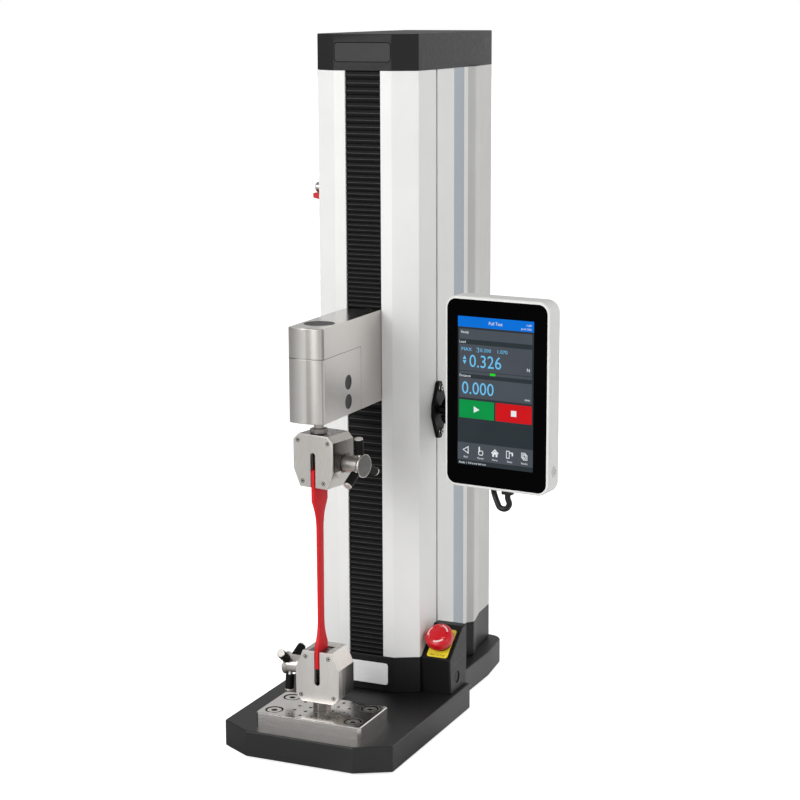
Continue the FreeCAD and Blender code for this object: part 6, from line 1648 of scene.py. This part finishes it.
@dataclass
class Display(SubAssembly):
    """The lit display behind the panel's cover glass."""
    width: float = 85.9
    height: float = 154.1
    lift: float = 0.06
    shift: float = -1.2
    icon_scale: float = 1.22
    icon_row: float = 0.9
    icon_word_row: float = 0.953
    icon_columns: tuple[float, ...] = (0.11, 0.305, 0.5, 0.695, 0.89)
    icon_words: tuple[str, ...] = ("Back", "Manual", "Home", "Setup", "Results")

    def level(self, share: float) -> float:
        """Height above the display's middle of a share counted from its top."""
        return self.height * (0.5 - share)

    def across(self, share: float) -> float:
        """Distance right of the display's middle of a share counted from its left edge."""
        return self.shift + self.width * (share - 0.5)

    def tile(self, name: str, x0: float, x1: float, y0: float, y1: float, finish: Finish, layer: int = 1,
             corner: float = 0.4) -> Object:
        """A lit rectangle between shares of the width and of the height.

        Args:
            name: ending of the piece's name.
            x0: left edge.
            x1: right edge.
            y0: top edge.
            y1: bottom edge.
            finish: its finish.
            layer: number of steps in front of the glass.
            corner: radius of the corners in millimetres.
        Returns:
            The piece.
        """
        w, h = (x1 - x0) * self.width, (y1 - y0) * self.height
        line = rounded(w, h, corner, self.across((x0 + x1) / 2), self.level((y0 + y1) / 2), 3)
        return self.keep(slab(f"display_{name}", line, 0, self.lift * layer, finish, PANEL_PLACE @ FACING))

    def words(self, name: str, text: str, x: float, y: float, size: float, finish: Finish,
              align: str = "LEFT", condense: float = 1.0, layer: int = 3) -> Object:
        """Words whose baseline lies at a share of the height."""
        spot = PANEL_PLACE @ FACING @ at(self.across(x), self.level(y), self.lift * layer)
        return self.keep(lettering(f"display_{name}", text, size, finish, spot, 0.04, align, condense))

    def shape(self, name: str, points: Outline, x: float, y: float, finish: Finish) -> Object:
        """A flat shape in millimetres about a spot."""
        line = [(self.across(x) + a, self.level(y) + b) for a, b in points]
        return self.keep(slab(f"display_{name}", line, self.lift * 2, self.lift * 3, finish,
                              PANEL_PLACE @ FACING))

    def loop(self, name: str, outer: Outline, inner: Outline, x: float, y: float, finish: Finish) -> Object:
        """A flat outline shape about a spot."""
        here = PANEL_PLACE @ FACING @ at(self.across(x), self.level(y), 0)
        return self.keep(ring_slab(f"display_{name}", outer, inner, self.lift * 2, self.lift * 3, finish,
                                   here))

    def keep(self, piece: Object) -> Object:
        """The piece belongs to the glass."""
        return attach(piece, "panel_glass", hide=False)

    def dress(self) -> list[Object]:
        """Lays out the header, two readouts, two keys and the icon bar.

        Returns:
            The pieces.
        """
        made = [
            self.tile("ground", 0, 1, 0, 1, Finish.DEEP, 1, 0.1),
            self.tile("header", 0, 1, 0, 0.07, Finish.HEADER, 2, 0.1),
            self.tile("status", 0.02, 0.98, 0.084, 0.152, Finish.SLATE, 2),
            self.tile("load", 0.02, 0.98, 0.185, 0.362, Finish.SLATE, 2),
            self.tile("track", 0.02, 0.98, 0.366, 0.384, Finish.SLATE, 2),
            self.tile("track_mark", 0.43, 0.5, 0.367, 0.383, Finish.LIME, 3),
            self.tile("distance", 0.02, 0.98, 0.412, 0.545, Finish.SLATE, 2),
            self.tile("start_key", 0.02, 0.485, 0.56, 0.682, Finish.GREEN, 2),
            self.tile("stop_key", 0.505, 0.98, 0.56, 0.682, Finish.RED, 2),
            self.tile("icon_bar", 0, 1, 0.85, 0.968, Finish.SLATE, 2, 0.1),
            self.words("title", "Pull Test", 0.5, 0.046, 3.3, Finish.WHITE, "CENTER", 0.95),
            self.words("clock", "12:00", 0.97, 0.034, 1.9, Finish.WHITE, "RIGHT"),
            self.words("date", "Jan 01 2026", 0.97, 0.059, 1.9, Finish.WHITE, "RIGHT", 0.9),
            self.words("ready", "Ready", 0.04, 0.113, 2.6, Finish.WHITE),
            self.words("load_word", "Load", 0.02, 0.178, 2.6, Finish.WHITE),
            self.words("small_row", "MAX   \u21950.200    1.070", 0.045, 0.229, 3.5, Finish.CYAN,
                       condense=1.13),
            self.words("load_value", "0.326", 0.15, 0.335, 12.8, Finish.CYAN, condense=0.92),
            self.words("load_unit", "N", 0.955, 0.333, 3.4, Finish.WHITE, "RIGHT"),
            self.words("distance_word", "Distance", 0.02, 0.405, 2.6, Finish.WHITE),
            self.words("distance_value", "0.000", 0.05, 0.518, 12.8, Finish.CYAN, condense=0.92),
            self.words("distance_unit", "mm", 0.955, 0.528, 2.6, Finish.WHITE, "RIGHT"),
            self.words("footer", "Ready  |  Full travel 265 mm", 0.02, 0.993, 1.9, Finish.WHITE),
            self.shape("play", [(-3, -3.4), (-3, 3.4), (3.6, 0)], 0.25, 0.621, Finish.WHITE),
            self.shape("halt", [(-3, -3), (3, -3), (3, 3), (-3, 3)], 0.745, 0.621, Finish.WHITE),
            self.shape("arrow_up", [(-2.2, 0.6), (2.2, 0.6), (0, 4.6)], 0.09, 0.291, Finish.CYAN),
            self.shape("arrow_down", [(-2.2, -0.6), (2.2, -0.6), (0, -4.6)], 0.09, 0.291, Finish.CYAN),
        ]
        return made + self.icons()

    def icons(self) -> list[Object]:
        """Back, hand, house, machine and list icons with a word line under each.

        Returns:
            The pieces.
        """
        def big(line: Outline) -> Outline:
            """The icon's line at the size that the display shows."""
            return [(x * self.icon_scale, y * self.icon_scale) for x, y in line]

        back = [(2.6, -3.4), (2.6, 3.4), (-3.2, 0)]
        roof = [(-3.6, -0.1), (0, 3.3), (3.6, -0.1), (3.0, -0.7), (0, 2.1), (-3.0, -0.7)]
        house = [(-2.4, -3.3), (-0.7, -3.3), (-0.7, -1.2), (0.7, -1.2), (0.7, -3.3), (2.4, -3.3), (2.4, -0.4),
                 (0, 1.6), (-2.4, -0.4)]
        # Name, column, outline, and inner outline where the shape is hollow
        marks = [
            ("back", 0, back, [(x * 0.66 + 0.12, y * 0.62) for x, y in back]),
            ("hand", 1, rounded(4.6, 4.2, 1.4, 0.4, -1.4, 3), rounded(3.3, 2.9, 0.9, 0.4, -1.4, 3)),
            ("finger", 1, rounded(1.2, 4.6, 0.5, -1.0, 1.6, 3), None),
            ("roof", 2, roof, None), ("house", 2, house, None),
            ("machine", 3, rounded(3.2, 6.6, 0.3, -1.6, 0, 2), rounded(2.0, 5.4, 0.2, -1.6, 0, 2)),
            ("machine_arm", 3, rounded(3.2, 0.9, 0.2, 1.6, 1.7, 2), None),
            ("machine_load", 3, rounded(1.3, 2.2, 0.3, 2.6, 0.2, 2), None)]
        for k in range(3):
            x, y = k * 0.9 - 1.0, 0.9 - k * 0.9
            marks.append((f"sheet_{k}", 4, rounded(3.9, 4.6, 0.3, x, y, 2), rounded(3.0, 3.7, 0.2, x, y, 2)))
        made = []
        for name, column, outer, inner in marks:
            spot = (self.icon_columns[column], self.icon_row, Finish.WHITE)
            made.append(self.loop(name, big(outer), big(inner), *spot) if inner
                        else self.shape(name, big(outer), *spot))
        for k, (x, word) in enumerate(zip(self.icon_columns, self.icon_words)):
            made.append(self.words(f"icon_word_{k}", word, x, self.icon_word_row, 1.9, Finish.WHITE, "CENTER",
                                   0.95))
        return made


@dataclass
class TouchPanel(SubAssembly):
    """White case with its cover glass, display and side button."""
    button_low: float = -77.0
    mark_outer: float = 2.5
    mark_inner: float = 2.0

    def dress(self) -> list[Object]:
        """Skins the case and adds the display and the button's ring.

        Returns:
            The pieces.
        """
        case = refined("panel_case", Finish.CASE, 0.3)
        glass = refined("panel_glass", Finish.GLASS, 0.25)
        button = refined("panel_button", Finish.BUTTON, 0.15)
        face = PANEL_PLACE @ at(60.0, 13.0, self.button_low) @ turn(90, "Y")
        arc = [math.radians(a) for a in range(40, 321, 10)]
        outer, inner = ([(r * math.cos(a), r * math.sin(a)) for a in arc]
                        for r in (self.mark_outer, self.mark_inner))
        mark = slab("button_mark", outer + inner[::-1], 0.0, 0.05, Finish.GREY_PLUG, face)
        bar = slab("button_mark_bar", rounded(2.4, 0.5, 0.2, 1.8, 0.0, 3), 0.0, 0.05, Finish.GREY_PLUG, face)
        for piece in (mark, bar):
            attach(piece, "panel_button", hide=False)
        return [case, glass, button, mark, bar, *Display().dress()]


@dataclass
class Lead(SubAssembly):
    """One length of the panel's lead, along the CAD model's route."""
    node: str
    route: Sequence[tuple[float, float, float]]
    first: str
    second: str
    radius: float = 3.0
    # Share of the shorter neighbour that a corner's arc takes up
    ease: float = 0.45

    def dress(self) -> list[Object]:
        """Sweeps the sheath along the smoothed route.

        Returns:
            The pieces.
        """
        points = self.smooth()
        mesh = bpy.data.meshes.new(self.node)
        mesh.from_pydata([p * MM for p in points], [(i, i + 1) for i in range(len(points) - 1)], [])
        sheath = tube_growth(Finish.CABLE).grow(f"{self.node}_sheath", mesh,
                                                {"Radius": self.radius * MM, "Sides": 24})
        Vector(self.route[0]) * MM
        Vector(self.route[-1]) * MM
        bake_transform(sheath)
        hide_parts(self.node)
        return [sheath]

    def smooth(self) -> list[Vector]:
        """Points of the route with its corners turned into tangent arcs.

        Returns:
            The points.
        """
        spots = [Vector(p) for p in self.route]
        points = [spots[0]]
        for i in range(1, len(spots) - 1):
            before, after = spots[i] - spots[i - 1], spots[i + 1] - spots[i]
            cut = self.ease * min(before.length, after.length)
            a, c = spots[i] - before.normalized() * cut, spots[i] + after.normalized() * cut
            angle = before.angle(after)
            radius = cut / math.tan(angle / 2)
            inward = ((a - spots[i]).normalized() + (c - spots[i]).normalized()).normalized()
            centre = spots[i] + inward * (radius / math.cos(angle / 2))
            steps = max(3, int(math.degrees(angle) / 4))
            u, v = a - centre, c - centre
            for k in range(steps + 1):
                t = k / steps
                w = math.sin((1 - t) * angle) / math.sin(angle), math.sin(t * angle) / math.sin(angle)
                points.append(centre + u * w[0] + v * w[1])
        points.append(spots[-1])
        return points


@dataclass
class FrontPlates(SubAssembly):
    """The badge plate in the cap and the blank label on the foot, in their two finishes."""
    # Width, height, corner and height of the middle, then the face's Y and the thickness
    badge: tuple[float, float, float, float] = (64.0, 19.0, 3.0, 729.0)
    badge_front: float = 112.7
    badge_thick: float = 1.0
    label: tuple[float, float, float, float] = (52.0, 24.5, 3.0, 51.75)
    label_front: float = 111.5
    label_thick: float = 0.4

    def dress(self) -> list[Object]:
        """Lays both plates on their faces.

        Returns:
            The pieces.
        """
        made = []
        for name, (w, h, r, z), y, thick, finish in (
                ("cap_badge_plate", self.badge, self.badge_front, self.badge_thick, Finish.BADGE),
                ("foot_label", self.label, self.label_front, self.label_thick, Finish.LABEL)):
            made.append(slab(name, rounded(w, h, r, 0.0, z), 0.0, thick, finish, at(0, y, 0) @ FACING))
            attach(made[-1], "front_plates")
        return made


@dataclass
class Studio:
    """Camera, lights and the pale sweep that the stand stands on."""
    camera_at: Vector = Vector((0.9064, -1.81885, 0.78608))
    azimuth: float = 24.418
    pitch: float = 11.236
    roll: float = -0.275
    lens: float = 90.64
    film: float = 36.0
    shift: tuple[float, float] = (0.0127, -0.0043)
    reach: float = 20.0
    ambient: float = 0.5
    floor_half: float = 30.0
    floor_glow: float = 0.72
    rear_glow: float = 0.5
    # Heading of the brighter and the dimmer floor in gloss, and degrees off it where they end and are full
    rear_sector: tuple[float, float, float] = (158.0, 34.0, 9.0)
    front_sector: tuple[float, float, float] = (-28.0, 72.0, 30.0)
    # Heading, rise, half width and strength of the soft patches of the surroundings
    lobes: tuple[tuple[float, float, float, float], ...] = (
        (-24.0, 8.0, 50.0, 0.7), (155.0, 12.0, 40.0, 0.7), (32.0, 0.0, 45.0, -0.25), (-80.0, 5.0, 45.0, -0.2),
        (204.0, 12.0, 35.0, 0.1), (0.0, 90.0, 60.0, -0.1))
    # Name, place, target, width and watts of the lamps
    lamps: tuple[tuple, ...] = (
        ("key", (-1.0, -2.5, 1.6), (0, 0.1, 0.4), 1.5, 37),
        ("low", (-0.3, -2.9, 0.5), (0, 0.1, 0.3), 1.3, 12),
        ("fill", (2.6, -0.9, 1.2), (0.05, 0.1, 0.4), 1.6, 16),
        ("side", (1.9, 1.7, 1.2), (0.05, 0.2, 0.45), 1.2, 6))

    def build(self) -> None:
        """Sets up the view of the photograph and its soft light."""
        scene = bpy.context.scene
        scene.view_settings.view_transform = "Standard"
        data = bpy.data.cameras.new("photo_camera")
        data.lens = self.lens
        data.sensor_width = self.film
        data.shift_x, data.shift_y = self.shift
        data.clip_end = self.reach
        camera = bpy.data.objects.new("photo_camera", data)
        scene.collection.objects.link(camera)
        a, e, r = (math.radians(v) for v in (self.azimuth, self.pitch, self.roll))
        look = Vector((-math.sin(a) * math.cos(e), math.cos(a) * math.cos(e), -math.sin(e)))
        right = Vector((math.cos(a), math.sin(a), 0))
        up = right.cross(look)
        right, up = right * math.cos(r) + up * math.sin(r), up * math.cos(r) - right * math.sin(r)
        stance = Matrix((right, up, -look)).transposed().to_4x4()
        camera.matrix_world = Matrix.Translation(self.camera_at) @ stance
        scene.camera = camera
        self.world()
        self.floor()
        for lamp in self.lamps:
            self.lamp(*lamp)

    def world(self) -> None:
        """Even white surroundings, brighter for the camera so that the backdrop is white."""
        world = bpy.data.worlds.new("surround")
        bpy.context.scene.world = world
        world.use_nodes = True
        net = Network(world.node_tree)
        net.nodes.clear()
        way = net.add("ShaderNodeTexCoord").outputs["Generated"]
        strength: object = self.ambient
        for lobe in self.lobes:
            strength = self.lobe(net, way, strength, *lobe)
        seen = net.add("ShaderNodeBackground", {0: (1, 1, 1, 1)})
        lit = net.add("ShaderNodeBackground", {0: (1, 1, 1, 1), 1: strength})
        ray = net.add("ShaderNodeLightPath").outputs["Is Camera Ray"]
        net.add("ShaderNodeOutputWorld", {0: net.add("ShaderNodeMixShader", {0: ray, 1: lit, 2: seen})})

    @staticmethod
    def lobe(net: Network, way: Socket, strength: object, heading: float, rise: float, wide: float,
             amount: float) -> Node:
        """Adds a soft bright or dark patch of the surroundings.

        Args:
            net: nodes of the world.
            way: direction of a ray.
            strength: light before this patch.
            heading: degrees from -Y towards +X.
            rise: degrees above the horizon.
            wide: degrees from the patch's middle to its rim.
            amount: strength added in the middle, below zero for a dark patch.
        Returns:
            The node that gives the sum.
        """
        h, e = math.radians(heading), math.radians(rise)
        middle = (math.sin(h) * math.cos(e), -math.cos(h) * math.cos(e), math.sin(e))
        near = net.add("ShaderNodeVectorMath", {0: way, 1: middle}, operation="DOT_PRODUCT")
        sizes = {"From Min": math.cos(math.radians(wide)), "From Max": 1.0, "To Min": 0.0, "To Max": amount}
        soft = net.add("ShaderNodeMapRange", {"Value": near, **sizes}, interpolation_type="SMOOTHSTEP")
        return net.add("ShaderNodeMath", {0: strength, 1: soft}, operation="ADD")

    def floor(self) -> None:
        """A pale floor that keeps the contact shadow."""
        mesh = bpy.data.meshes.new("floor")
        wide = self.floor_half
        mesh.from_pydata([(-wide, -wide, 0), (wide, -wide, 0), (wide, wide, 0), (-wide, wide, 0)], [],
                         [(0, 1, 2, 3)])
        floor = bpy.data.objects.new("floor", mesh)
        bpy.context.scene.collection.objects.link(floor)
        t = Tree("seamless_paper")
        ray = t.add("ShaderNodeLightPath").outputs
        way = t.add("ShaderNodeVectorMath", {0: t.place}, operation="NORMALIZE")
        glossy = ray["Is Glossy Ray"]
        rear, front = (self.towards(t, way, *sector) for sector in (self.rear_sector, self.front_sector))
        bright = t.add("ShaderNodeMath", {0: rear, 1: glossy}, operation="MULTIPLY")
        dim = t.add("ShaderNodeMath", {0: front, 1: glossy}, operation="MULTIPLY")
        camera = t.add("ShaderNodeMath", {0: ray["Is Camera Ray"], 1: self.floor_glow}, operation="MULTIPLY")
        glow = t.add("ShaderNodeMath", {0: bright, 1: self.rear_glow, 2: camera}, operation="MULTIPLY_ADD")
        tone = t.add("ShaderNodeMix", {0: dim, 6: srgb("f4f4f4"), 7: srgb("bcbcbc")}, data_type="RGBA")
        mesh.materials.append(t.dress(tone, (), 0.9, Emission_Color=(1, 1, 1, 1), Emission_Strength=glow,
                                      Specular_IOR_Level=0.1))

    @staticmethod
    def towards(t: Tree, way: Node, heading: float, wide: float, full: float) -> Node:
        """Share of a sector of the floor at a place.

        Args:
            t: the floor's material.
            way: direction of the place from the middle.
            heading: degrees from -Y towards +X to the sector's middle.
            wide: degrees off the heading where the share is none.
            full: degrees off the heading where it is one.
        Returns:
            The node that gives the share.
        """
        h = math.radians(heading)
        near = t.add("ShaderNodeVectorMath", {0: way, 1: (math.sin(h), -math.cos(h), 0.0)},
                     operation="DOT_PRODUCT")
        return t.add("ShaderNodeMapRange", {"Value": near, "From Min": math.cos(math.radians(wide)),
                                            "From Max": math.cos(math.radians(full))},
                     interpolation_type="SMOOTHSTEP")

    def lamp(self, name: str, spot: Sequence[float], target: Sequence[float], size: float,
             watts: float) -> None:
        """A soft square light aimed at a point.

        Args:
            name: name of the lamp.
            spot: its place in metres.
            target: what it is aimed at.
            size: its width in metres.
            watts: its power.
        """
        data = bpy.data.lights.new(name, "AREA")
        data.size = size
        data.energy = watts
        lamp = bpy.data.objects.new(name, data)
        lamp.location = spot
        lamp.rotation_euler = (Vector(target) - Vector(spot)).to_track_quat("-Z", "Y").to_euler()
        bpy.context.scene.collection.objects.link(lamp)


# Node of the CAD model, its finish and the width of its softened edges in millimetres
PLAIN = {
    "base_casting": (Finish.CAST, 0.0), "feet": (Finish.RUBBER, 0.2), "column_foot": (Finish.FOOT, 0.8),
    "column_profile": (Finish.COLUMN, 0.5), "side_strips": (Finish.STRIP, 0.1),
    "rear_frame_gland": (Finish.COVER, 0.4), "rear_cover": (Finish.COVER, 0.3),
    "top_cap": (Finish.CAP, 0.5), "bearing_plate": (Finish.TURNED, 0.3), "drive_motor": (Finish.BLACK, 0.4),
    "drive_belt": (Finish.RUBBER, 0.1), "guide_rails": (Finish.TURNED, 0.2),
    "lower_stud_nut": (Finish.NUT, 0.3), "ball_base": (Finish.MOUNT, 0.3),
    "control_board": (Finish.BOARD, 0.1), "mains_inlet": (Finish.BLACK, 0.2),
    "rail_shoes": (Finish.TURNED, 0.3), "carriage": (Finish.ARM, 0.4), "ball_nut": (Finish.TURNED, 0.3),
    "ball_screw_shaft": (Finish.TURNED, 0.2), "motor_rotor": (Finish.TURNED, 0.2),
    "limit_stop": (Finish.SLIDER_RED, 0.4), "limit_knob": (Finish.TURNED, 0.2),
    "mount_arm_upper": (Finish.MOUNT, 0.5), "mount_arm_lower": (Finish.MOUNT, 0.5),
    "mount_clamp_knob": (Finish.BLACK, 0.6), "panel_ball": (Finish.BLACK, 0.3),
    "lead_plug": (Finish.BLACK, 0.3), "switch_rocker": (Finish.BLACK, 0.3),
}

# Points in millimetres that the two lengths of the panel's lead run through
LEAD_TO_TIE = [
    (184.6, 62.9, 283.4), (184.6, 62.9, 278.9), (187.2, 63.0, 273.0), (183.0, 63.1, 266.9),
    (175.6, 63.4, 267.8), (171.6, 64.6, 275.6), (166.6, 69.0, 283.6), (162.4, 80.0, 289.4),
    (159.0, 91.0, 297.0), (155.5, 100.0, 307.5), (150.0, 108.0, 318.0), (142.5, 116.0, 328.0),
    (133.0, 124.5, 337.6), (123.0, 134.0, 341.0),
]
LEAD_TO_COLUMN = [
    (122.8, 134.2, 341.06), (112.6, 144.2, 343.9), (107.2, 156.4, 336.6), (106.0, 172.0, 326.0),
    (106.0, 189.0, 316.0), (104.0, 206.0, 311.0), (100.0, 224.0, 310.5), (95.5, 242.0, 314.5),
    (90.5, 257.0, 321.5), (84.0, 267.5, 328.0), (72.8, 270.0, 330.0),
]


def save_size() -> None:
    """Brings the view layer up to date.
    """
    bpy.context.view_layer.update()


def main() -> None:
    """Builds the scene and reports each group."""
    logging.basicConfig(level=logging.INFO, format="%(message)s")
    frame.update(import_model())
    save_size()
    Studio().build()
    groups: list[SubAssembly] = [
        Lead("lead_to_tie", LEAD_TO_TIE, "panel", "panel_arm"),
        Lead("lead_to_column", LEAD_TO_COLUMN, "panel_arm", "frame"),
        PlainDress(PLAIN), FrontPlates(), BasePlate(),
        Bellows("bellows_upper", 458.8, 709.7, 42, "crosshead", "frame"),
        Bellows("bellows_lower", 72.3, 359.7, 44, "frame", "crosshead"),
        Specimen(), Grip(Which.LOWER, 111.5), Grip(Which.UPPER, 288.5), Crosshead(), BallMount(),
        StopButton(), TouchPanel(),
    ]
    for group in groups:
        for piece in group.dress():
            LOG.info("%s: %s", type(group).__name__, piece.name)
    save_size()


if __name__ == "__main__":
    main()
